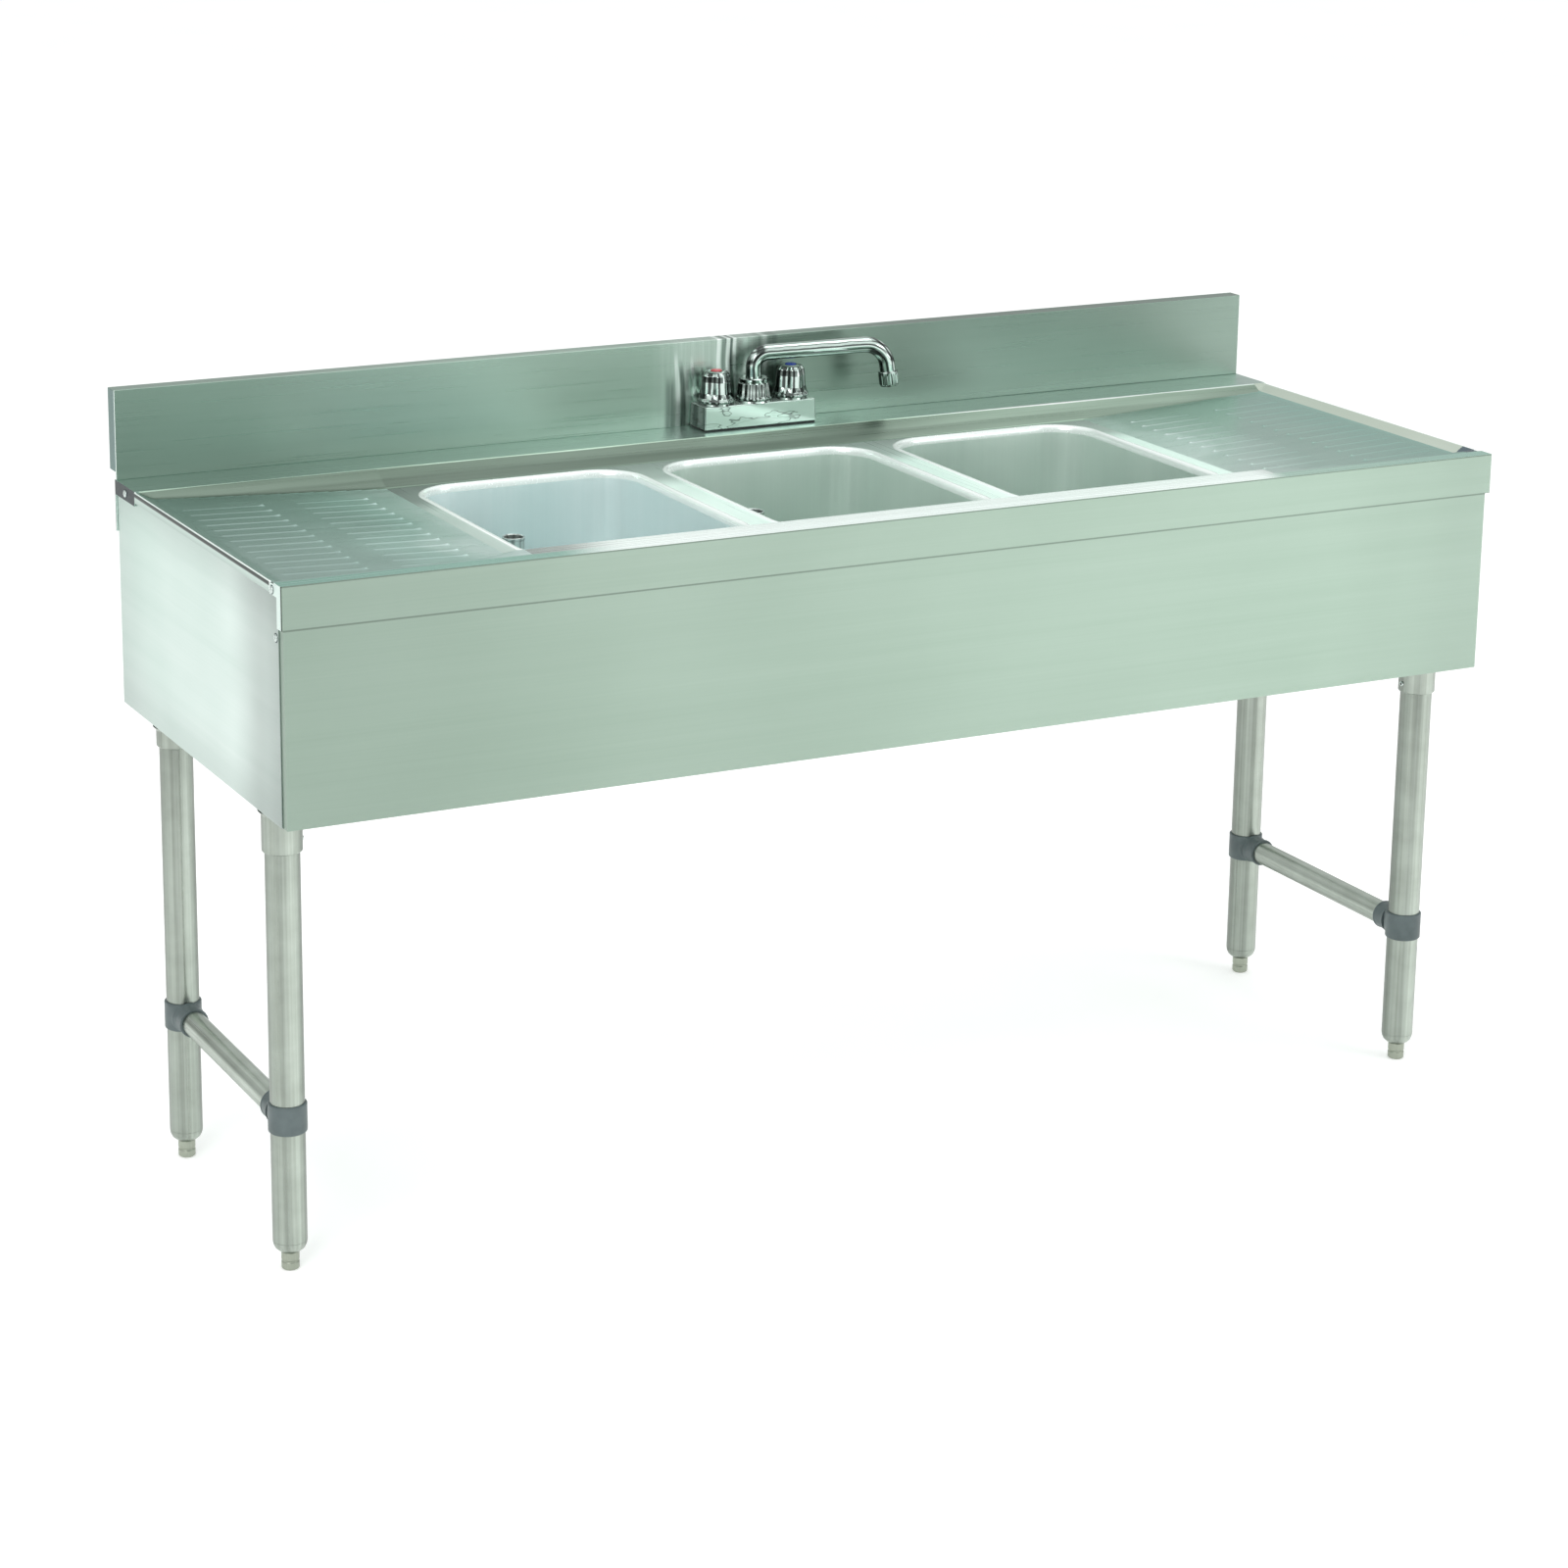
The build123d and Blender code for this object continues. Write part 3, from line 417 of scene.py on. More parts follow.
# painted highlight: a near-white copy of the bowl steel on the rolled lip
M_LIP = steel("bowl_lip_painted_highlight", lin((230, 240, 237)), lin((250, 254, 252)), 0.22, "Y", 0.02, metal=0.35)
M_HIDDEN = steel("mill_steel", lin((130, 140, 136)), lin((160, 170, 165)), 0.40, "Y", 0.10)
# legs and braces carry painted reflection bands
M_LEG = tube_steel("leg_satin", lin((147, 154, 145)), lin((188, 197, 188)), "Z", 0.30)
M_BRACE = tube_steel("brace_satin", lin((147, 154, 145)), lin((188, 197, 188)), "Y", 0.30)
M_FOOT = steel("foot_satin", lin((142, 148, 136)), lin((180, 186, 172)), 0.34, "Z", 0.12)
# chrome pieces carry painted reflection bands; the faucet base also painted wavy reflection lines
M_CHROME = chrome("faucet_chrome", (0.84, 0.95, 0.91, 1), 0.05, 0.02)
M_BASECHROME = chrome("faucet_base_chrome", (0.84, 0.96, 0.91, 1), 0.07, 0.02, wavy_reflection=True, metal=0.62)
M_TUBECHROME = chrome("tube_chrome", (0.80, 0.86, 0.84, 1), 0.14, 0.03, metal=0.85, depth=0.5)
M_SCREW = steel("screw_plain", lin((178, 190, 186)), lin((214, 222, 219)), 0.22, "Z", 0.05)
M_RING = steel("screw_shadow", lin((40, 54, 56)), lin((62, 78, 80)), 0.40, "Z", 0.05)
M_TEE = plastic("tee_moulded", lin((72, 84, 85)), lin((90, 102, 103)), 0.40, 1400.0, 0.10)
M_RUBBER = plastic("rubber_black", lin((18, 22, 22)), lin((34, 38, 38)), 0.62, 1200.0, 0.15)
M_BRASS = plastic("brass_machined", lin((188, 164, 108)), lin((214, 190, 132)), 0.30, 700.0, 0.06, metal=1.0)
M_RED = plastic("index_red", lin((158, 52, 60)), lin((188, 74, 80)), 0.22, 1500.0, 0.02)
M_BLUE = plastic("index_blue", lin((28, 58, 150)), lin((40, 76, 176)), 0.22, 1500.0, 0.02)


# -------------------------------------------------------------- mesh helpers
def to_metres(bm):
    for v in bm.verts:
        v.co = Vector((v.co.x / 1000.0, (v.co.y - YR) / 1000.0, v.co.z / 1000.0))


def done(name, bm, mat, body="frame", nodes=(), angle=35.0, convert=True, recalc=True):
    if convert:
        to_metres(bm)
    if recalc:
        bmesh.ops.recalc_face_normals(bm, faces=bm.faces[:])
    me = bpy.data.meshes.new(name)
    bm.to_mesh(me)
    bm.free()
    o = bpy.data.objects.new(name, me)
    scene.collection.objects.link(o)
    for m in (mat if isinstance(mat, (list, tuple)) else [mat]):
        me.materials.append(m)
    me.polygons.foreach_set("use_smooth", [True] * len(me.polygons))
    me.set_sharp_from_angle(angle=math.radians(angle))
    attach(o, body)
    if nodes:
        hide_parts(*nodes)
    return o


def flat_normals(o):
    """Keeps the big faces flat, so that only the softened edges turn the light."""
    md = o.modifiers.new("flat", "WEIGHTED_NORMAL")
    md.keep_sharp = True
    md.weight = 80
    return o


def as_sheet(o, mm=1.6, angle=28.0):
    """Gives a single skin its gauge, and keeps its cut edges sharp."""
    md = o.modifiers.new("sheet", "SOLIDIFY")
    md.thickness = mm / 1000.0
    md.offset = -1.0
    bpy.context.view_layer.update()
    dg = bpy.context.evaluated_depsgraph_get()
    me = bpy.data.meshes.new_from_object(o.evaluated_get(dg), depsgraph=dg)
    o.modifiers.clear()
    old = o.data
    o.data = me
    me.name = old.name + "_sheet"
    bpy.data.meshes.remove(old)
    me.polygons.foreach_set("use_smooth", [True] * len(me.polygons))
    me.set_sharp_from_angle(angle=math.radians(angle))
    return o


def fillet2d(pts, n=5, closed=True):
    """Rounds the corners of a profile. Each point is (a, b) or (a, b, radius)."""
    out = []
    m = len(pts)
    for i, p in enumerate(pts):
        r = p[2] if len(p) > 2 else 0.0
        if r <= 0 or (not closed and i in (0, m - 1)):
            out.append((p[0], p[1]))
            continue
        a, c = Vector(pts[i - 1][:2]), Vector(pts[(i + 1) % m][:2])
        q = Vector(p[:2])
        d1, d2 = (a - q), (c - q)
        l1, l2 = d1.length, d2.length
        d1.normalize()
        d2.normalize()
        ang = d1.angle(d2)
        if ang > pi - 0.02:
            out.append((p[0], p[1]))
            continue
        t = min(r / math.tan(ang / 2), l1 * 0.49, l2 * 0.49)
        rr = t * math.tan(ang / 2)
        bis = (d1 + d2).normalized()
        cen = q + bis * (rr / math.sin(ang / 2))
        s, e = q + d1 * t - cen, q + d2 * t - cen
        a0 = math.atan2(s.y, s.x)
        da = math.atan2(e.y, e.x) - a0
        while da > pi:
            da -= 2 * pi
        while da < -pi:
            da += 2 * pi
        for k in range(n + 1):
            w = a0 + da * k / n
            out.append((cen.x + rr * math.cos(w), cen.y + rr * math.sin(w)))
    return out


def lathe(prof, cx, cy, segs=96, mod=None, closed=True, bm=None):
    """Turns (radius, height) about the vertical at cx, cy."""
    bm = bm or bmesh.new()
    rings = []
    for r, z in prof:
        if r < 1e-5:
            rings.append([bm.verts.new((cx, cy, z))])
            continue
        ring = []
        for i in range(segs):
            a = 2 * pi * i / segs
            rr = mod(r, z, a) if mod else r
            ring.append(bm.verts.new((cx + rr * math.cos(a), cy + rr * math.sin(a), z)))
        rings.append(ring)
    pairs = list(zip(rings[:-1], rings[1:]))
    if closed:
        pairs.append((rings[-1], rings[0]))
    for a, b in pairs:
        if len(a) == 1 and len(b) == 1:
            continue
        for i in range(segs):
            j = (i + 1) % segs
            if len(a) == 1:
                bm.faces.new((a[0], b[j], b[i]))
            elif len(b) == 1:
                bm.faces.new((a[i], a[j], b[0]))
            else:
                bm.faces.new((a[i], a[j], b[j], b[i]))
    return bm


def fillet_path(pts, radii, n=14, step=6.0):
    """Straight runs joined by tangent arcs, as points."""
    P = [Vector(p) for p in pts]
    out = [P[0]]
    for i in range(1, len(P) - 1):
        d1, d2 = (P[i - 1] - P[i]).normalized(), (P[i + 1] - P[i]).normalized()
        ang = d1.angle(d2)
        t = radii[i - 1] / math.tan(ang / 2)
        cen = P[i] + (d1 + d2).normalized() * (radii[i - 1] / math.sin(ang / 2))
        s, e = P[i] + d1 * t, P[i] + d2 * t
        u, v = (s - cen), (e - cen)
        tot = u.angle(v)
        for k in range(n + 1):
            w = tot * k / n
            q = (u * math.sin(tot - w) + v * math.sin(w)) / math.sin(tot)
            out.append(cen + q)
    out.append(P[-1])
    full = [out[0]]
    for a, b in zip(out[:-1], out[1:]):
        m = max(1, int((b - a).length / step))
        for k in range(1, m + 1):
            full.append(a.lerp(b, k / m))
    return full


def frames(path):
    ts = []
    for i in range(len(path)):
        a = path[max(i - 1, 0)]
        b = path[min(i + 1, len(path) - 1)]
        ts.append((b - a).normalized())
    n = ts[0].orthogonal().normalized()
    out = []
    for i, t in enumerate(ts):
        n = (n - t * n.dot(t)).normalized()
        out.append((path[i], t, n, t.cross(n)))
    return out


def sweep(path, r_out, r_in, segs=64):
    bm = bmesh.new()
    fr = frames(path)

    def rings(r):
        rr = []
        for k, (p, t, n, b) in enumerate(fr):
            rad = r(k / (len(fr) - 1)) if callable(r) else r
            rr.append([bm.verts.new(p + (n * math.cos(2 * pi * i / segs) + b * math.sin(2 * pi * i / segs)) * rad)
                       for i in range(segs)])
        return rr
    o, q = rings(r_out), rings(r_in)
    for rr in (o, q):
        for a, b in zip(rr[:-1], rr[1:]):
            for i in range(segs):
                j = (i + 1) % segs
                bm.faces.new((a[i], a[j], b[j], b[i]))
    for k in (0, -1):
        for i in range(segs):
            j = (i + 1) % segs
            bm.faces.new((o[k][i], o[k][j], q[k][j], q[k][i]))
    return bm


def refine(name, mat, bevel=0.5, segs=2, angle=35.0, body="frame", sharp=35.0, piece=None):
    """A cleaned copy of a CAD solid with softened sheet edges."""
    src = NODES[name]
    bm = bmesh.new()
    bm.from_mesh(src.data)
    bmesh.ops.remove_doubles(bm, verts=bm.verts[:], dist=2e-6)
    bmesh.ops.dissolve_limit(bm, angle_limit=math.radians(0.6), verts=bm.verts[:], edges=bm.edges[:])
    if bevel:
        hard = [e for e in bm.edges if len(e.link_faces) == 2 and e.calc_face_angle(0.0) > math.radians(angle)]
        bmesh.ops.bevel(bm, geom=hard, offset=bevel / 1000.0, segments=segs, profile=0.5, affect="EDGES",
                        clamp_overlap=True)
        bmesh.ops.remove_doubles(bm, verts=bm.verts[:], dist=1e-6)
    return flat_normals(done(piece or name + "_skin", bm, mat, body, (name,), sharp, convert=False))


def smax(a, b, k):
    h = max(k - abs(a - b), 0.0) / k
    return max(a, b) + h * h * k * 0.25


def smin(a, b, k):
    return -smax(-a, -b, k)


# -------------------------------------------------------------- sheet metal
for part in ("front_nosing", "front_skirt"):
    fold = refine(part, [M_APRON, M_RETURN, M_CORNER_SHADE, M_EDGE, M_EDGE_TOP, M_NOSE_TOP], 0.7, 3)
    # end faces take the painted light copy, corner bends painted shade, the nosing top and top bend painted highlight
    # and shade, the lower bend a painted shade line
    for p in fold.data.polygons:
        if abs(p.center.x) > 0.7585 and abs(p.normal.x) > 0.9:
            p.material_index = 1
        elif abs(p.center.x) > 0.7585 and abs(p.normal.x) > 0.2 and p.normal.y < -0.2:
            p.material_index = 2
        elif part == "front_nosing" and p.normal.z > 0.95 and p.center.z > 0.787:
            p.material_index = 5
        elif part == "front_nosing" and p.normal.z < -0.2:
            p.material_index = 3
        elif part == "front_nosing" and p.normal.z > 0.2 and p.normal.y < -0.2:
            p.material_index = 4
refine("side_panel_left", M_SIDE, 0.4, 2)
refine("side_panel_right", M_SIDE, 0.4, 2)
led = refine("rear_ledge", [M_LEDGE, M_LEDGE_END, M_RIM, M_RETURN], 0.7, 3)
# painted light and shade: low front-facing faces take the lighter copy, the ends painted shade, the front top edge
# painted highlight
for p in led.data.polygons:
    if p.normal.y < -0.5 and p.center.y > (530.0 - YR) / 1000 and p.center.z < 0.775:
        p.material_index = 3
        continue
    if abs(p.normal.x) > 0.9 and abs(p.center.x) > 0.7615 and p.center.z < 0.7872:
        p.material_index = 1
    elif p.center.y < (471.9 - YR) / 1000 and p.center.z > 0.7868:
        p.material_index = 2
spl = refine("backsplash", [M_SPLASH, M_SPLASH_END, M_RIM, M_BACK], 0.7, 3)
for p in spl.data.polygons:
    if p.normal.y > 0.3 or p.normal.z < -0.5:
        p.material_index = 3
        continue
    # at the ends: end faces painted shade, the rounded end bevels painted highlight
    if abs(p.center.x) > 0.7585:
        if abs(p.normal.x) > 0.9:
            p.material_index = 1
        elif abs(p.normal.x) > 0.15 and p.normal.y < -0.15:
            p.material_index = 2
refine("leg_channel_left", M_HIDDEN, 0.5, 2)
refine("leg_channel_right", M_HIDDEN, 0.5, 2)

RIB_COLS = ((509.0, 598.0), (634.0, 732.0))
RIB_PITCH, RIB_N, RIB_Y0, RIB_W, RIB_H = 26.4, 13, 80.0, 7.0, 0.62


def board_height(ax, y):
    """Top of the drainboard at |x| and depth y."""
    h = 18.0 - 10.0 * (ax - X_DECK) / (X_FOOT - X_DECK)
    side = -1e3
    if ax > X_FOOT - 6:
        side = Z_TOP - (8.0 - 7.65 * (ax - X_FOOT) / 17.9)
    h = min(max(h, 8.0), 18.0)
    flat = Z_TOP - h
    # near the bowls the front strip widens to meet the bowl deck's
    w = min(max((ax - X_DECK) / 60.0, 0.0), 1.0)
    w = w * w * (3 - 2 * w)
    fy = 50.0 - 18.0 * w
    run = 12.0 + (1.7 * h - 12.0) * w
    front = 786.4 - (y - fy) * (h - 1.6) / run
    rear = Z_TOP - (471.0 - y) / 1.7
    z = smax(flat, rear, 2.0)
    z = smax(z, front, 2.0)
    z = smax(z, side, 2.2)
    z = smin(z, 786.4 if y < 60 and side < 785 else Z_TOP, 0.8)
    for c0, c1 in RIB_COLS:
        a, b = c0 + RIB_W / 2, c1 - RIB_W / 2
        if ax < c0 - 1 or ax > c1 + 1:
            continue
        k = round((y - RIB_Y0) / RIB_PITCH)
        if k < 0 or k >= RIB_N:
            continue
        d = math.hypot(ax - min(max(ax, a), b), y - (RIB_Y0 + k * RIB_PITCH))
        u = 1.0 - d / (RIB_W / 2)
        if u > 0:
            u = min(1.0, u * 1.35)
            tip = min(max(1.0 - (ax - c0) / 9.0, 0.0), 1.0)
            z += (RIB_H + 1.4 * tip) * u * u * (3 - 2 * u)
    return z


def drainboard(name, s):
    bm = bmesh.new()
    xs = []
    x = X_DECK
    while x < 761.2:
        xs.append((x, None))
        near = any(abs(x - e) < 9 for c in RIB_COLS for e in c) or x > 738
        x += 1.2 if near else 3.0
    xs += [(761.3, None), (761.75, 787.2), (762.0, 786.6), (762.0, 781.0), (762.0, 775.2)]
    ys = [2.0 + 1.18 * i for i in range(int((471.0 - 2.0) / 1.18) + 1)]
    ys[-1] = 471.0
    grid = []
    for ax, zz in xs:
        col = []
        for y in ys:
            xx = ax
            if y < 31.6:
                xx = min(ax, 760.3)
            z = board_height(min(ax, 761.6), y) if zz is None else zz
            if y < 31.6:
                z = min(z, 786.3)
            col.append(bm.verts.new((s * xx, y, z)))
        grid.append(col)
    for i in range(len(grid) - 1):
        for j in range(len(ys) - 1):
            q = (grid[i][j], grid[i + 1][j], grid[i + 1][j + 1], grid[i][j + 1])
            bm.faces.new(q if s > 0 else q[::-1])
    bmesh.ops.remove_doubles(bm, verts=bm.verts[:], dist=1e-3)
    bmesh.ops.dissolve_degenerate(bm, edges=bm.edges[:], dist=1e-3)
    # painted light and shade: the rim takes the highlight copy, the flange its shade band, and on the right board the
    # side bevel a lit copy and the front corner a shaded copy
    for f in bm.faces:
        c = f.calc_center_median()
        ax = abs(c.x)
        if ax > 761.6 and c.z < 786.6:
            f.material_index = 3
        elif ax > 760.4:
            f.material_index = 2
        elif ax > X_FOOT + 0.4 and s > 0:
            f.material_index = 4 if c.y > 48.0 + (ax - X_FOOT) * 0.35 else 5
        elif c.y > 471.0 - 1.7 * (Z_TOP - min(board_height(ax, 400.0), 787.5)) - 0.8 and ax < 757.0:
            f.material_index = 1
    o = done("board_" + name, bm, [M_BOARD, M_SLOPE, M_RIM, M_FLANGE, M_BAND, M_BOARD_SHADE], "frame",
             ("drainboard_" + name,), 40.0, recalc=False)
    return as_sheet(o, 1.6, 40.0)


drainboard("left", -1)
drainboard("right", 1)


# ------------------------------------------------------------ deck and bowls
NC, NSX, NSY = 16, 10, 12


def rr_loop(cx, cy, hx, hy, r):
    pts = []
    for q, (sx, sy) in enumerate(((1, 1), (-1, 1), (-1, -1), (1, -1))):
        ccx, ccy = cx + sx * (hx - r), cy + sy * (hy - r)
        for k in range(NC + 1):
            a = q * pi / 2 + (pi / 2) * k / NC
            pts.append((ccx + r * math.cos(a), ccy + r * math.sin(a)))
        nx = ((1, 1), (-1, 1), (-1, -1), (1, -1))[(q + 1) % 4]
        ex, ey = cx + nx[0] * (hx - r), cy + nx[1] * (hy - r)
        a = (q + 1) * pi / 2
        e = (ex + r * math.cos(a), ey + r * math.sin(a))
        st = pts[-1]
        m = NSX if q in (0, 2) else NSY
        for k in range(1, m):
            pts.append((st[0] + (e[0] - st[0]) * k / m, st[1] + (e[1] - st[1]) * k / m))
    return pts


def square_loop(cx, hx, hy, cy, r, cell):
    """The same loop pushed out onto the edge of its rectangular cell."""
    x0, x1, y0, y1 = cell
    out = []
    for q, (sx, sy) in enumerate(((1, 1), (-1, 1), (-1, -1), (1, -1))):
        ccx, ccy = cx + sx * (hx - r), cy + sy * (hy - r)
        for k in range(NC + 1):
            a = q * pi / 2 + (pi / 2) * k / NC
            c, s = math.cos(a), math.sin(a)
            m = max(abs(c), abs(s))
            out.append((ccx + r * c / m, ccy + r * s / m))
        nx = ((1, 1), (-1, 1), (-1, -1), (1, -1))[(q + 1) % 4]
        ex, ey = cx + nx[0] * (hx - r), cy + nx[1] * (hy - r)
        a = (q + 1) * pi / 2
        e = (ex + r * math.cos(a), ey + r * math.sin(a))
        st = out[-1]
        m = NSX if q in (0, 2) else NSY
        for k in range(1, m):
            out.append((st[0] + (e[0] - st[0]) * k / m, st[1] + (e[1] - st[1]) * k / m))
    return [(x0 + (px - (cx - hx)) / (2 * hx) * (x1 - x0), y0 + (py - (cy - hy)) / (2 * hy) * (y1 - y0))
            for px, py in out]


BY = (BOWL_Y0 + BOWL_Y1) / 2
BL = BOWL_Y1 - BOWL_Y0
LX, LY, LR = BOWL_W / 2 + 8.0, BL / 2 + 8.0, BOWL_R + 8.0
Y_RB = 471.0 - 1.7 * 18.0


def bowl_deck():
    bm = bmesh.new()
    for i in (-1, 0, 1):
        cx = i * PITCH
        inner = rr_loop(cx, BY, LX, LY, LR)
        outer = square_loop(cx, LX, LY, BY, LR, (cx - PITCH / 2, cx + PITCH / 2, 62.0, Y_RB))
        n = len(inner)
        rings = [[bm.verts.new((a[0] + (b[0] - a[0]) * t, a[1] + (b[1] - a[1]) * t, Z_DECK))
                  for a, b in zip(inner, outer)] for t in (0.0, 0.5, 1.0)]
        for ra, rb in zip(rings[:-1], rings[1:]):
            for k in range(n):
                bm.faces.new((ra[k], ra[(k + 1) % n], rb[(k + 1) % n], rb[k]))
    bmesh.ops.remove_doubles(bm, verts=bm.verts[:], dist=1e-3)
    # margins out to the drainboards
    for s in (-1, 1):
        edge = sorted([v for v in bm.verts if abs(v.co.x - s * 465.0) < 1e-3], key=lambda v: v.co.y)
        new = [bm.verts.new((s * X_DECK, v.co.y, Z_DECK)) for v in edge]
        for k in range(len(edge) - 1):
            bm.faces.new((edge[k], edge[k + 1], new[k + 1], new[k]))
    front = fillet2d([(2.0, 786.4), (50.0, 786.4, 4.0), (62.0, 770.0)], 6, closed=False)
    rear = fillet2d([(Y_RB, Z_DECK), (470.2, 787.6, 1.2), (471.0, 788.0)], 4, closed=False)
    for y0, prof in ((62.0, front[::-1][1:]), (Y_RB, rear[1:])):
        row = sorted([v for v in bm.verts if abs(v.co.y - y0) < 1e-3 and abs(v.co.z - Z_DECK) < 1e-3],
                     key=lambda v: v.co.x)
        for y, z in prof:
            nr = [bm.verts.new((v.co.x, y, z)) for v in row]
            for k in range(len(row) - 1):
                bm.faces.new((row[k], row[k + 1], nr[k + 1], nr[k]))
            row = nr
    bmesh.ops.recalc_face_normals(bm, faces=bm.faces[:])
    up = sum(f.normal.z for f in bm.faces)
    if up < 0:
        bmesh.ops.reverse_faces(bm, faces=bm.faces[:])
    crease = [e for e in bm.edges if len(e.link_faces) == 2 and e.calc_face_angle(0.0) > math.radians(20)]
    bmesh.ops.bevel(bm, geom=crease, offset=1.3, segments=3, profile=0.5, affect="EDGES", clamp_overlap=True)
    # the rear slope takes the painted light and shade copy, the front strip the painted reflection copy
    for f in bm.faces:
        c = f.calc_center_median()
        if c.y > Y_RB - 1.0:
            f.material_index = 1
        elif c.y < 51.5 and c.z > 785.0:
            f.material_index = 2
    o = done("deck_sheet", bm, [M_BEVEL, M_SLOPE, M_STRIP], "frame", ("bowl_deck",), 30.0,
             recalc=False)
    return as_sheet(o, 1.6, 30.0)


bowl_deck()


def bowl(label, k):
    cx = k * PITCH
    prof = [(0.0, 769.9), (0.8, 770.5), (2.2, 770.95), (3.8, 771.0), (5.4, 770.6), (6.8, 769.5), (7.8, 767.8),
            (8.3, 765.5), (8.6, 762.0)]
    for z in (745.0, 715.0, 680.0, 640.0, 600.0, 575.0):
        prof.append((8.6 + (762.0 - z) * 0.003, z))
    for i in range(1, 9):
        a = pi / 2 * i / 8
        prof.append((9.2 + 28.0 * (1 - math.cos(a)), 560.0 - 28.0 * math.sin(a)))
    prof_in = list(prof)
    out_skin = [(36.0, 530.4)]
    for i in range(7, -1, -1):
        a = pi / 2 * i / 8
        out_skin.append((7.9 + 29.0 * (1 - math.cos(a)), 559.6 - 29.2 * math.sin(a)))
    out_skin += [(7.2, 600.0), (7.0, 680.0), (6.6, 755.0), (6.2, 764.0), (5.0, 767.0), (3.0, 768.2), (0.0, 768.4)]
    bm = bmesh.new()
    base = rr_loop(cx, BY, LX, LY, LR)

    def ring(o, z):
        return [bm.verts.new((px, py, z)) for px, py in rr_loop(cx, BY, LX - o, LY - o, max(LR - o, 4.0))]
    rings = [ring(o, z) for o, z in prof_in]
    dx, dy = cx - 32.0, 370.0
    last = [(v.co.x, v.co.y) for v in rings[-1]]

    def to_drain(t, z, r=23.6):
        out = []
        for px, py in last:
            d = Vector((px - dx, py - dy))
            L = d.length
            d.normalize()
            q = L + (r - L) * t
            out.append(bm.verts.new((dx + d.x * q, dy + d.y * q, z)))
        return out
    for t, z in ((0.25, 531.9), (0.55, 531.7), (0.85, 531.5), (0.97, 531.4), (1.0, 531.2)):
        rings.append(to_drain(t, z))
    for t, z in ((1.0, 530.0), (0.6, 530.1), (0.2, 530.3)):
        rings.append(to_drain(t, z))
    for o, z in out_skin[1:]:
        rings.append(ring(o, z))
    n = len(base)
    for a, b in zip(rings, rings[1:] + rings[:1]):
        for i in range(n):
            j = (i + 1) % n
            bm.faces.new((a[i], a[j], b[j], b[i]))
    # the rolled lip takes the painted highlight copy
    for f in bm.faces:
        if f.calc_center_median().z > 763.5:
            f.material_index = 1
    # the left bowl takes the lit copy, the centre and right bowls the shaded copy
    return done("basin_" + label, bm, [M_BOWL if k < 0 else M_BOWL_SHADED, M_LIP], "frame", ("bowl_" + label,),
                40.0)


for label, k in (("left", -1), ("centre", 0), ("right", 1)):
    bowl(label, k)

# drains: flange, strainer seat and tail, gasket and locknut under the bowl
bm = bmesh.new()
gas = bmesh.new()
nut = bmesh.new()
for k in (-1, 0, 1):
    dx, dy = k * PITCH - 32.0, 370.0
    lathe(fillet2d([(12.8, 506.0), (19.0, 502.0, 1), (19.0, 476.0, 0.6), (22.5, 476.0, 0.8), (22.5, 512.0, 0.3),
                    (21.5, 512.0, 0.3), (21.5, 515.0, 0.3), (23.2, 515.0, 0.4), (23.2, 531.6), (28.6, 531.7, 0.2),
                    (29.0, 532.9, 0.5), (26.5, 534.4, 0.9), (20.0, 534.3, 1.2), (15.0, 529.6, 2.0),
                    (12.8, 528.6, 0.4)], 4), dx, dy, 96, bm=bm)
    lathe(fillet2d([(23.3, 527.8), (28.0, 527.8, 0.6), (28.0, 530.6, 0.6), (23.3, 530.6)], 3), dx, dy, 72, bm=gas)

    def wing(r, z, a):
        if r > 26.0 and z < 523.0:
            return r - 1.2 + 1.2 * math.cos(a * 12)
        return r
    lathe(fillet2d([(23.3, 518.8), (27.5, 518.8, 0.8), (27.5, 524.8, 0.4), (30.0, 525.6, 0.5), (30.0, 527.7, 0.4),
                    (23.3, 527.7)], 3), dx, dy, 144, mod=wing, bm=nut)
done("drain_fittings", bm, M_TUBECHROME, "frame", ("drain_bodies",), 40)
done("drain_seals", gas, M_RUBBER, "frame", ("drain_gaskets",), 40)
done("drain_nuts", nut, M_BRASS, "frame", ("drain_locknuts",), 40)

for label, k in (("left", -1), ("centre", 0), ("right", 1)):
    dx, dy = k * PITCH - 32.0, 370.0
    bm = lathe(fillet2d([(11.5, 508.0), (12.7, 508.0, 0.4), (12.7, 712.5, 1.5), (13.3, 714.6, 0.9), (13.4, 716.6, 0.7),
                         (12.4, 717.0, 0.5), (11.5, 716.0, 0.5), (11.5, 700.0)], 5), dx, dy, 80)
    done("standpipe_" + label, bm, M_TUBECHROME, "overflow_tube_" + label, ("overflow_tube_" + label,), 50)

# --------------------------------------------------------------------- legs
LEGS = (("front_left", -1, LEG_YF, 478.0), ("front_right", 1, LEG_YF, 478.0),
        ("rear_left", -1, LEG_YR, 500.0), ("rear_right", 1, LEG_YR, 500.0))
sock = bmesh.new()
ins = bmesh.new()
scr = bmesh.new()


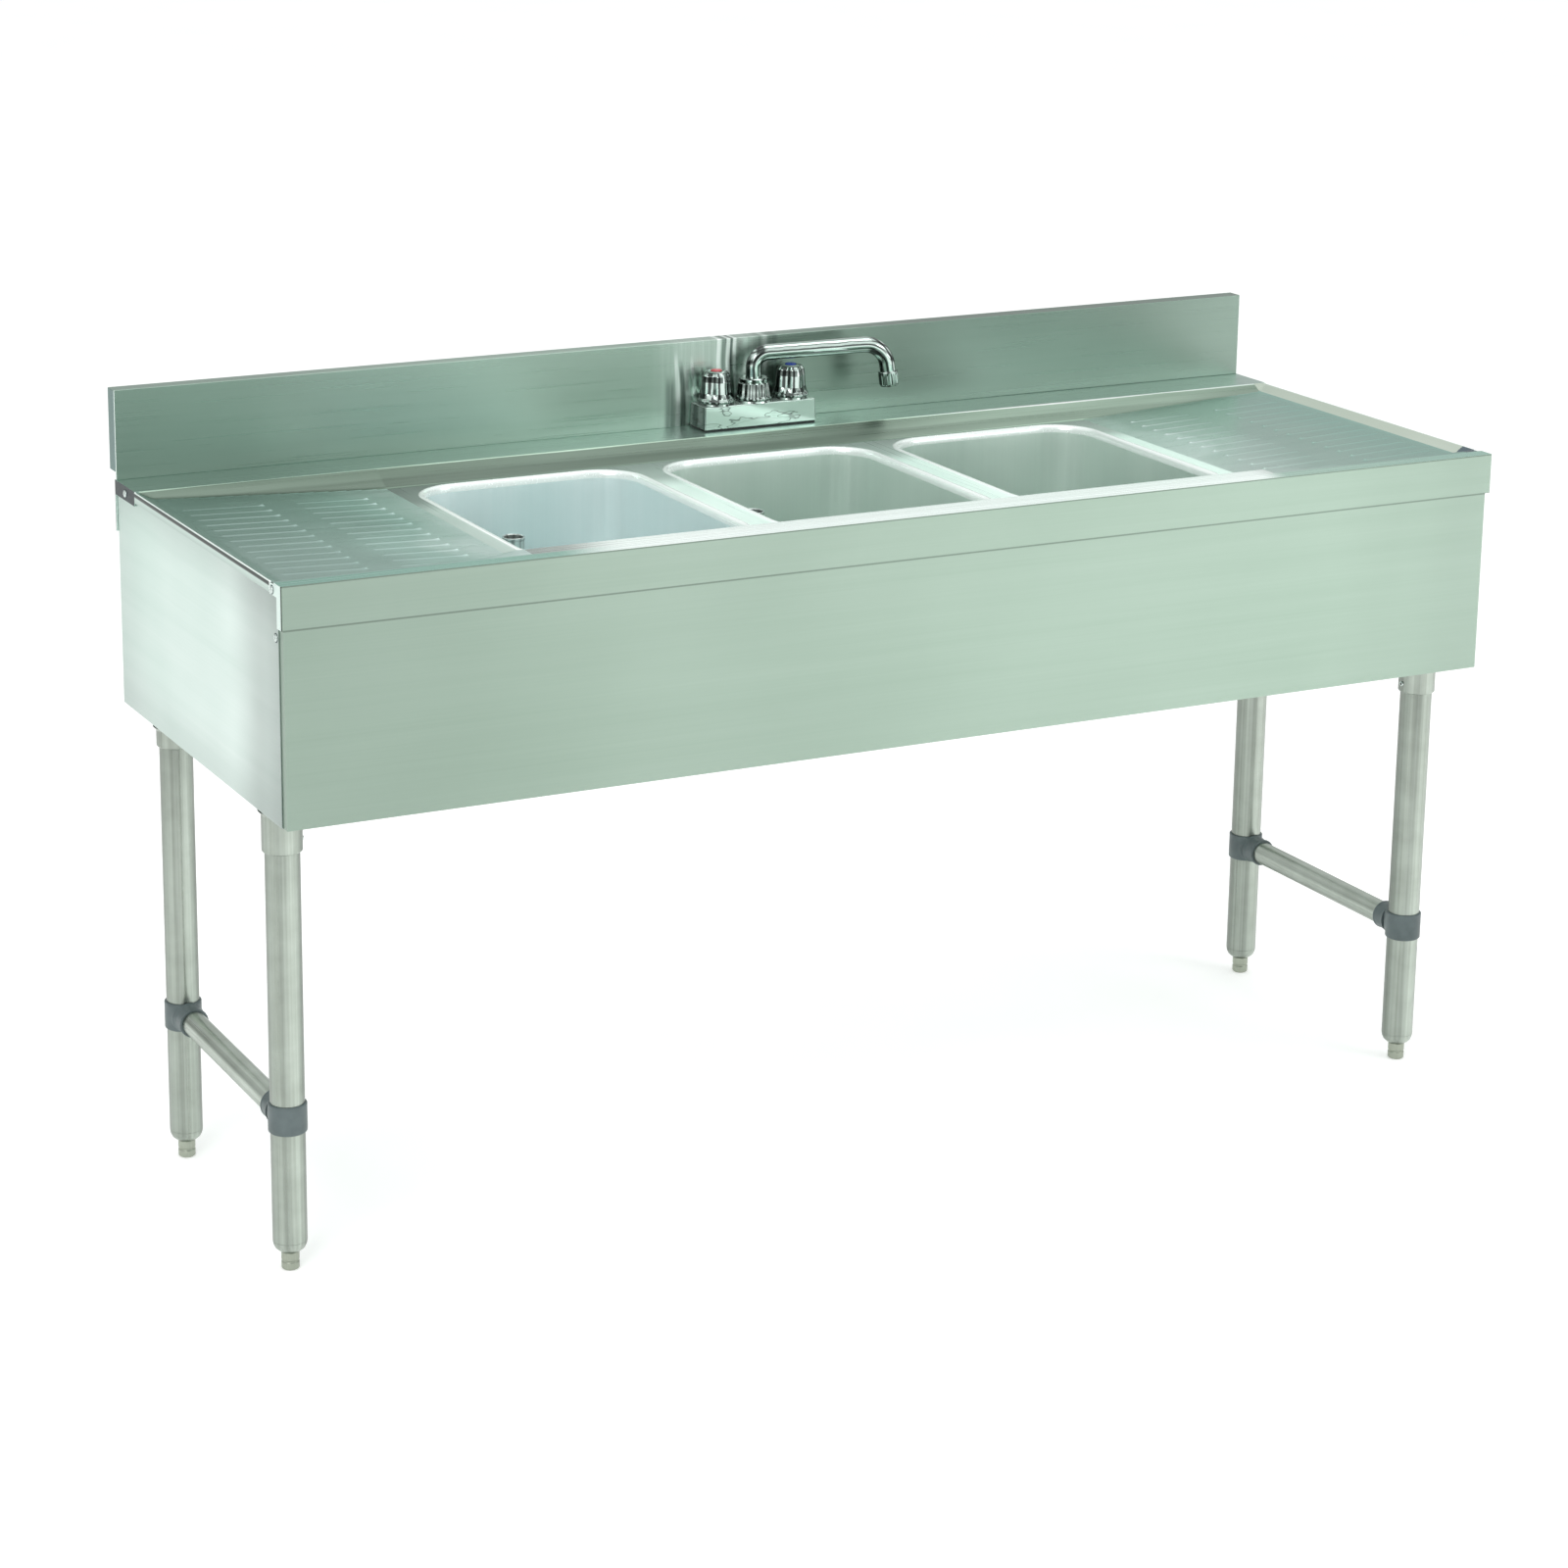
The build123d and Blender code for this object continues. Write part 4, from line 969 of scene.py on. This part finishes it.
def screw_x(bm, x, y, z, s, r=4.2, h=1.6):
    """Pan-head screw on a face that looks along x, with a cross recess."""
    prof = [(0.0, h * 0.45), (0.9, h * 0.5), (1.35, h * 0.98), (r * 0.5, h), (r * 0.78, h * 0.86),
            (r * 0.93, h * 0.6), (r, h * 0.25), (r, 0.0), (0.0, 0.0)]
    part = bmesh.new()

    def cross(rr, zz, a):
        if 0.5 < rr < 1.6:
            c = abs(math.cos(2 * a))
            return rr * (0.55 + 0.85 * c ** 3)
        return rr
    lathe(prof, 0.0, 0.0, 48, mod=cross, closed=False, bm=part)
    lathe([(r - 0.1, 0.3), (r + 0.8, 0.3), (r + 1.0, 0.0), (r - 0.1, 0.0)], 0.0, 0.0, 48, bm=part)
    for f in part.faces:
        c = f.calc_center_median()
        if math.hypot(c.x, c.y) > r + 0.05:
            f.material_index = 1
    rot = Matrix.Rotation(math.radians(90.0 * s), 4, "Y")
    for v in part.verts:
        q = rot @ v.co
        v.co = Vector((x + q.x, y + q.y, z + q.z))
    me = bpy.data.meshes.new("tmp")
    part.to_mesh(me)
    part.free()
    bm.from_mesh(me)
    bpy.data.meshes.remove(me)


def box_mm(bm, x0, x1, y0, y1, z0, z1, bev=0.6, segs=2):
    vs = [bm.verts.new((x, y, z)) for x in (x0, x1) for y in (y0, y1) for z in (z0, z1)]
    fs = [bm.faces.new([vs[i] for i in q]) for q in
          ((0, 1, 3, 2), (4, 6, 7, 5), (0, 4, 5, 1), (2, 3, 7, 6), (0, 2, 6, 4), (1, 5, 7, 3))]
    bmesh.ops.recalc_face_normals(bm, faces=fs)
    es = list({e for f in fs for e in f.edges})
    if bev:
        bmesh.ops.bevel(bm, geom=es, offset=bev, segments=segs, profile=0.5, affect="EDGES", clamp_overlap=True)


for name, s, ly, zs in LEGS:
    x = s * LEG_X
    bm = lathe(fillet2d([(17.45, 36.0), (17.45, 523.0), (19.05, 523.0, 0.4), (19.05, 34.2, 0.3), (17.45, 34.2)], 3),
               x, ly, 96)
    done("tube_" + name, bm, M_LEG, "frame", ("leg_" + name,), 40)
    # pressed end of the tube, with the bore for the foot
    lathe(fillet2d([(6.06, 21.9), (9.8, 21.9, 0.6), (13.4, 22.9, 2.0), (16.6, 25.8, 3.0), (18.5, 30.2, 3.0),
                    (19.0, 34.1), (17.4, 34.1), (17.4, 60.0), (6.06, 60.0)], 5), x, ly, 96, bm=ins)
    bm = lathe(fillet2d([(0, 0), (8.2, 0, 0.8), (9.9, 1.5, 0.8), (10.0, 8.6, 0.5), (9.1, 9.5, 0.4), (9.1, 10.6, 0.4),
                         (10.0, 11.5, 0.5), (10.0, 20.4, 0.8), (8.8, 21.6, 0.5), (6.0, 21.6), (6.0, 57.0, 0.6),
                         (5.0, 58.0), (0, 58.0)], 4, closed=False), x, ly, 72, closed=False)
    done("foot_stub_" + name, bm, M_FOOT, "foot_" + name, ("foot_" + name,), 40)
    # socket: collar, root fillet and mounting plate
    lathe(fillet2d([(19.1, zs), (21.0, zs, 0.7), (22.0, zs + 1.2, 0.8), (22.0, 519.5, 2.5), (25.5, 523.7),
                    (19.1, 523.7)], 4), x, ly, 96, bm=sock)
    x0, x1 = sorted((s * (758.4 - 2.2), s * 712.0))
    box_mm(sock, x0, x1, ly - 28, ly + 28, 523.6, 526.6, 0.5)
    # set screw
    part = lathe(fillet2d([(0, 2.2), (1.5, 2.2), (1.7, 4.4), (2.6, 4.6, 0.3), (3.0, 4.0), (3.0, 0), (0, 0)], 3,
                          closed=False), 0, 0, 36, closed=False)
    rot = Matrix.Rotation(math.radians(-90.0 * s), 4, "Y")
    for v in part.verts:
        q = rot @ v.co
        v.co = Vector((x - s * 19.0 + q.x, ly + q.y, zs + 11.0 + q.z))
    me = bpy.data.meshes.new("tmp")
    part.to_mesh(me)
    part.free()
    scr.from_mesh(me)
    bpy.data.meshes.remove(me)
done("sockets", sock, M_LEG, "frame", ("leg_sockets",), 35)
done("tube_ends", ins, M_LEG, "frame", ("foot_inserts",), 45)
done("set_screws", scr, M_SCREW, "frame", ("socket_set_screws",), 35)


def tee_solid(name, s, ly):
    d = 1 if ly == LEG_YF else -1
    x = s * LEG_X
    nz, na = 44, 160
    # collar outer skin as a height field round the leg, swollen where the
    # branch leaves it, so that the two run into each other smoothly
    bm = bmesh.new()
    R, RB = 21.4, 17.0
    rows = []
    prof = fillet2d([(19.05, -16.5), (20.3, -16.5, 0.5), (21.4, -15.4, 1.0), (21.4, 0.0), (21.4, 15.4, 1.0),
                     (20.3, 16.5, 0.5), (19.05, 16.5)], 4, closed=False)
    dense = []
    for (r0, z0), (r1, z1) in zip(prof[:-1], prof[1:]):
        m = max(1, int(abs(z1 - z0) / 0.9))
        for q in range(m):
            dense.append((r0 + (r1 - r0) * q / m, z0 + (z1 - z0) * q / m))
    dense.append(prof[-1])
    for r, z in dense:
        row = []
        for i in range(na):
            a = 2 * pi * i / na
            rr = r
            if r > 20.5:
                # distance across the branch axis
                lx, ld = rr * math.cos(a), rr * math.sin(a) * d
                if ld > 0:
                    q = math.hypot(lx, z)
                    if q < RB + 5.0:
                        u = min(1.0, max(0.0, (RB + 4.5 - q) / 4.5))
                        rr = r + 3.6 * u * u * u * max(0.0, ld / r) ** 1.5
            row.append(bm.verts.new((x + rr * math.cos(a), ly + rr * math.sin(a), TEE_Z + z)))
        rows.append(row)
    for a, b in zip(rows[:-1], rows[1:]):
        for i in range(na):
            j = (i + 1) % na
            bm.faces.new((a[i], a[j], b[j], b[i]))
    for i in range(na):
        j = (i + 1) % na
        bm.faces.new((rows[-1][i], rows[-1][j], rows[0][j], rows[0][i]))
    # branch sleeve
    pr = fillet2d([(14.3, 20.2), (18.2, 20.2), (16.9, 25.0, 4.0), (16.6, 37.0, 1.2), (17.3, 38.2, 0.7), (17.1, 40.0, 0.8),
                   (14.3, 40.0, 0.3)], 5)
    br = lathe(pr, 0, 0, 96)
    for v in br.verts:
        v.co = Vector((x + v.co.x, ly + d * v.co.z, TEE_Z + v.co.y))
    me = bpy.data.meshes.new("tmp")
    br.to_mesh(me)
    br.free()
    bm.from_mesh(me)
    bpy.data.meshes.remove(me)
    return bm


for name, s, ly, zs in LEGS:
    done("tee_skin_" + name, tee_solid(name, s, ly), M_TEE, "frame", ("tee_" + name,), 50)

for name, s in (("left", -1), ("right", 1)):
    path = [Vector((s * LEG_X, LEG_YF + 23.0 + (LEG_YR - LEG_YF - 46.0) * i / 24, TEE_Z)) for i in range(25)]
    done("brace_tube_" + name, sweep(path, 14.3, 13.1, 72), M_BRACE, "frame", ("brace_" + name,), 40)

# ------------------------------------------------------------------- faucet
ZB0, ZB1 = 790.0, 818.0
bm = bmesh.new()
box_mm(bm, FX - 75, FX + 75, FY - 20, FY + 20, 788.0, 790.2, 0.5)
done("faucet_seal", bm, M_RUBBER, "frame", ("faucet_gasket",), 35)

bm = bmesh.new()
vs = []
for z, k in ((ZB0, 1.0), (ZB1, 0.987)):
    for sx, sy in ((-1, -1), (1, -1), (1, 1), (-1, 1)):
        vs.append(bm.verts.new((FX + sx * 76.0 * k, FY + sy * (21.0 - (0.9 if k < 1 else 0)), z)))
for q in ((3, 2, 1, 0), (4, 5, 6, 7), (0, 1, 5, 4), (1, 2, 6, 5), (2, 3, 7, 6), (3, 0, 4, 7)):
    bm.faces.new([vs[i] for i in q])
bmesh.ops.recalc_face_normals(bm, faces=bm.faces[:])
bmesh.ops.bevel(bm, geom=bm.edges[:], offset=1.6, segments=4, profile=0.5, affect="EDGES", clamp_overlap=True)
for vx in (FX - VALVE, FX + VALVE):
    lathe(fillet2d([(8.0, 812.0), (8.0, 820.0, 0.4), (19.4, 820.0, 0.6), (20.2, 817.6)], 4), vx, FY, 72, bm=bm)
lathe(fillet2d([(10.2, 812.0), (10.2, 820.0, 0.4), (21.4, 820.0, 0.6), (22.4, 817.6)], 4), FX, FY, 72, bm=bm)
flat_normals(done("faucet_base", bm, M_BASECHROME, "frame", ("faucet_body",), 30))

bm = bmesh.new()
nuts = bmesh.new()
bon = bmesh.new()
for vx in (FX - VALVE, FX + VALVE):
    # thread rings on the lower part of each shank
    prof = [(6.0, 738.0), (9.6, 738.0)]
    z = 739.0
    while z < 769.0:
        prof += [(10.25, z + 0.45), (9.65, z + 0.95)]
        z += 0.95
    prof += [(9.6, 770.2), (9.6, 773.0), (10.7, 773.2), (10.7, 790.0), (6.0, 790.0)]
    lathe(prof, vx, FY, 64, bm=bm)
    for b2, z0, z1, af, bore in ((nuts, 775.4, 786.3, 34.0, 10.8), (bon, 820.0, 827.0, 22.0, 5.06)):
        R = af / math.sqrt(3.0)

        def hexa(r, zz, a, R=R, bore=bore, af=af):
            if r <= bore + 0.01:
                return r
            m = a % (pi / 3) - pi / 6
            return min(r, af / 2 / math.cos(m))
        lathe(fillet2d([(bore, z0), (af / 2 - 0.3, z0), (R, z0 + 1.3), (R, z1 - 1.3), (af / 2 - 0.3, z1), (bore, z1)], 2),
              vx, FY, 96, mod=hexa, bm=b2)
done("shanks", bm, M_BRASS, "frame", ("supply_shanks",), 35)
done("shank_nuts", nuts, M_BRASS, "frame", ("shank_locknuts",), 25)
done("bonnets", bon, M_BRASS, "frame", ("valve_bonnets",), 25)


def lobed(r, z, a):
    """Four finger scallops down the knob's side, and a scalloped skirt."""
    if r < 14.2:
        return r
    t = (z - 820.4) / 39.0
    c = 0.5 + 0.5 * math.cos(4 * a - pi)
    k = min(max((t - 0.16) / 0.14, 0.0), 1.0)
    k = k * k * (3 - 2 * k)
    top = 1.0 - min(max((t - 0.90) / 0.10, 0.0), 1.0) * 0.4
    r = r - 3.6 * k * top * c ** 1.7
    if t < 0.16:
        r = r - 0.9 * (0.5 + 0.5 * math.cos(12 * a)) * (1 if r > 20 else 0.3)
    return r


for label, vx, idx, body in (("hot", FX - VALVE, M_RED, "hot_handle"), ("cold", FX + VALVE, M_BLUE, "cold_handle")):
    prof = fillet2d([(13.6, 820.5), (22.4, 820.5, 0.8), (22.9, 823.2, 1.0), (20.8, 826.0, 1.8), (19.6, 832.0, 6.0),
                     (18.6, 846.0, 6.0), (17.4, 853.2, 3.0), (14.2, 857.6, 2.6), (9.6, 858.8, 1.5), (7.2, 858.6, 0.4),
                     (6.95, 856.4, 0.3), (6.95, 853.2), (2.0, 853.2), (2.0, 843.6), (5.0, 843.6), (5.0, 829.5),
                     (13.6, 829.5, 1.0)], 5)
    bm = lathe(prof, vx, FY, 160, mod=lobed)
    done("knob_" + label, bm, M_CHROME, body, (label + "_handle",), 45)
    bm = lathe(fillet2d([(0, 856.5), (6.9, 856.5), (6.9, 859.1, 0.4), (5.4, 860.1, 1.0), (0, 860.5)], 5, closed=False),
               vx, FY, 64, closed=False)
    done("index_" + label, bm, idx, body, (label + "_index",), 45)
    bm = lathe(fillet2d([(0, 797.0), (7.9, 797.0, 0.3), (7.9, 801.0, 0.3), (5.0, 802.0, 0.3), (5.0, 843.4, 0.5),
                         (0, 844.0)], 3, closed=False), vx, FY, 64, closed=False)
    done("stem_" + label, bm, M_BRASS, body, (label + "_stem",), 40)
    bm = lathe(fillet2d([(0, 844.2), (1.9, 844.2), (1.9, 853.4), (4.0, 853.4, 0.2), (4.0, 856.0, 0.5), (1.2, 856.2),
                         (1.0, 855.0), (0, 855.0)], 3, closed=False), vx, FY, 40, closed=False)
    done("knob_screw_" + label, bm, M_SCREW, body, (label + "_handle_screw",), 40)


def fluted(r, z, a):
    if r < 17.3:
        return r
    t = (z - 820.0) / 27.0
    if 0.16 < t < 0.80:
        return r - 1.5 * (0.5 + 0.5 * math.cos(12 * a)) ** 2
    if t <= 0.16:
        return r - 1.2 * (0.5 + 0.5 * math.cos(12 * a))
    return r


bm = lathe(fillet2d([(10.15, 820.0), (22.4, 820.0, 0.8), (22.9, 822.6, 0.9), (21.2, 825.0, 1.2), (20.6, 831.0, 4.0),
                     (19.6, 840.6, 0.9), (17.6, 841.6, 0.5), (17.8, 842.8, 0.5), (18.0, 845.6, 0.8), (16.6, 847.0, 0.8),
                     (10.15, 847.0, 0.3)], 5), FX, FY, 144, mod=fluted)
done("spout_cap_nut", bm, M_CHROME, "frame", ("spout_nut",), 40)

ROT = Matrix.Rotation(math.radians(-12.0), 4, "Z")
rise = math.tan(math.radians(2.0)) * 172.0
zl, za, zt = 810.0, 876.0, 838.0
path = [ROT @ p for p in fillet_path([(0, 0, zl), (0, 0, za), (166.0, 0, za + rise), (172.0, 0, zt)], [18.0, 30.0], 26, 4.0)]
path = [p + Vector((FX, FY, 0)) for p in path]
done("spout_pipe", sweep(path, SPOUT_R, SPOUT_R - 1.2, 72), M_CHROME, "spout", ("spout_tube",), 40)
bm = lathe(fillet2d([(9.8, 812.5), (10.15, 812.5, 0.1), (10.15, 815.5, 0.1), (9.8, 815.5)], 3), FX, FY, 64)
done("spout_seal", bm, M_RUBBER, "spout", ("spout_o_ring",), 40)

down = Vector((6.0, 0, zt - za - rise)).normalized()


ab = lathe(fillet2d([(9.79, -10.0), (11.2, -10.0, 0.5), (12.1, -8.6, 0.8), (12.2, -4.6, 0.3), (12.2, 1.6, 0.2),
                     (12.2, 6.4, 0.6), (11.2, 7.4, 0.4), (11.0, 8.9, 0.5), (8.0, 8.9, 0.3), (8.0, 4.0),
                     (9.79, 3.0)], 4), 0, 0, 144,
           mod=lambda r, z, a: r - 0.7 * (0.5 + 0.5 * math.cos(20 * a)) if (r > 12.0 and -8.0 < z < 6.6) else r)
# mesh screen inside the mouth
for i in range(-3, 4):
    for swap in (0, 1):
        half = math.sqrt(max(0.0, 7.9 ** 2 - (i * 2.2) ** 2))
        a, b = (-half, half)
        c = i * 2.2
        if swap:
            box_mm(ab, c - 0.35, c + 0.35, a, b, 4.6, 5.3, 0)
        else:
            box_mm(ab, a, b, c - 0.35, c + 0.35, 5.3, 6.0, 0)
q = Vector((0, 0, 1)).rotation_difference(down).to_matrix().to_4x4()
place = Matrix.Translation(Vector((FX, FY, 0))) @ ROT @ Matrix.Translation(Vector((172.0, 0, zt))) @ q
bmesh.ops.transform(ab, matrix=place, verts=ab.verts[:])
done("spout_aerator", ab, M_CHROME, "spout", ("aerator",), 35)

# ------------------------------------------------------------ apron screws
bm = bmesh.new()
for s in (-1, 1):
    for y, z, face in ((504.0, 779.0, 762.0), (25.0, 779.5, 762.0), (21.0, 729.0, 760.0)):
        screw_x(bm, s * face, y, z, s)
done("apron_screw_heads", bm, [M_SCREW, M_RING], "frame", ("apron_screws",), 35)

# ---------------------------------------------------------------- the stage
fm, nt, b = new_mat("floor_pale")
tc = nt.nodes.new("ShaderNodeTexCoord")
n1 = noise_tex(nt, tc.outputs["Object"], 3.0, 3.0)
nt.links.new(ramp(nt, n1, [(0.3, (0.90, 0.905, 0.90, 1)), (0.7, (0.93, 0.93, 0.925, 1))]), b.inputs["Base Color"])
b.inputs["Roughness"].default_value = 0.9
b.inputs["Specular IOR Level"].default_value = 0.0
b.inputs["Emission Color"].default_value = (1.0, 1.0, 1.0, 1.0)
b.inputs["Emission Strength"].default_value = 0.30
me = bpy.data.meshes.new("studio_floor")
bm = bmesh.new()
bmesh.ops.create_grid(bm, x_segments=8, y_segments=8, size=60.0)
bm.to_mesh(me)
bm.free()
floor = bpy.data.objects.new("studio_floor", me)
me.materials.append(fm)
scene.collection.objects.link(floor)

world = bpy.data.worlds.new("studio")
scene.world = world
world.use_nodes = True
nt = world.node_tree
nt.nodes.clear()
wo = nt.nodes.new("ShaderNodeOutputWorld")
bg = nt.nodes.new("ShaderNodeBackground")
tc = nt.nodes.new("ShaderNodeTexCoord")
sep = nt.nodes.new("ShaderNodeSeparateXYZ")
nt.links.new(tc.outputs["Generated"], sep.inputs[0])
sky = ramp(nt, map_range(nt, sep.outputs[2], -0.1, 1.0, 0.0, 1.0), [
    (0.00, (0.80, 0.82, 0.81)), (0.09, (0.70, 0.72, 0.71)), (0.13, (0.46, 0.48, 0.47)), (0.30, (0.52, 0.54, 0.53)),
    (0.45, (0.80, 0.82, 0.81)), (0.70, (0.85, 0.87, 0.86)), (1.00, (0.70, 0.72, 0.71))])
nt.links.new(sky, bg.inputs[0])
bg.inputs[1].default_value = 1.0
nt.links.new(bg.outputs[0], wo.inputs[0])


def area(name, loc, aim, sx, sy, power, colour=(1, 1, 1)):
    d = bpy.data.lights.new(name, "AREA")
    d.shape = "RECTANGLE"
    d.size, d.size_y = sx, sy
    d.energy = power
    d.color = colour
    o = bpy.data.objects.new(name, d)
    o.location = loc
    o.rotation_mode = "QUATERNION"
    o.rotation_quaternion = (Vector(aim) - Vector(loc)).to_track_quat("-Z", "Y")
    scene.collection.objects.link(o)
    return o


area("key", (-3.4, -3.0, 3.0), (0, 0, 0.7), 2.4, 2.4, 75.0)
area("fill", (3.2, -3.4, 2.2), (0, 0, 0.6), 2.2, 2.4, 35.0)
area("top", (0.0, -0.3, 3.8), (0, 0, 0.7), 3.6, 2.4, 36.0)

# ------------------------------------------------------------------- camera
az, el, roll = math.radians(-26.215), math.radians(14.430), math.radians(0.411)
back = Vector((math.sin(az) * math.cos(el), -math.cos(az) * math.cos(el), math.sin(el)))
right = (-back).cross(Vector((0, 0, 1))).normalized()
up = right.cross(-back)
r2 = right * math.cos(roll) + up * math.sin(roll)
u2 = -right * math.sin(roll) + up * math.cos(roll)
cam = bpy.data.cameras.new("camera")
cam.sensor_width = 36.0
cam.lens = 3906.7 / 1600.0 * 36.0
cam.shift_x = 0.0625
cam.shift_y = -0.125
cam.clip_start, cam.clip_end = 0.05, 200.0
co = bpy.data.objects.new("camera", cam)
scene.collection.objects.link(co)
co.matrix_world = Matrix(((r2.x, u2.x, back.x, -2.0560), (r2.y, u2.y, back.y, -3.5617 - 0.279),
                          (r2.z, u2.z, back.z, 1.7593), (0, 0, 0, 1)))
scene.camera = co
scene.view_settings.view_transform = "Standard"
scene.view_settings.look = "None"

bpy.context.view_layer.update()
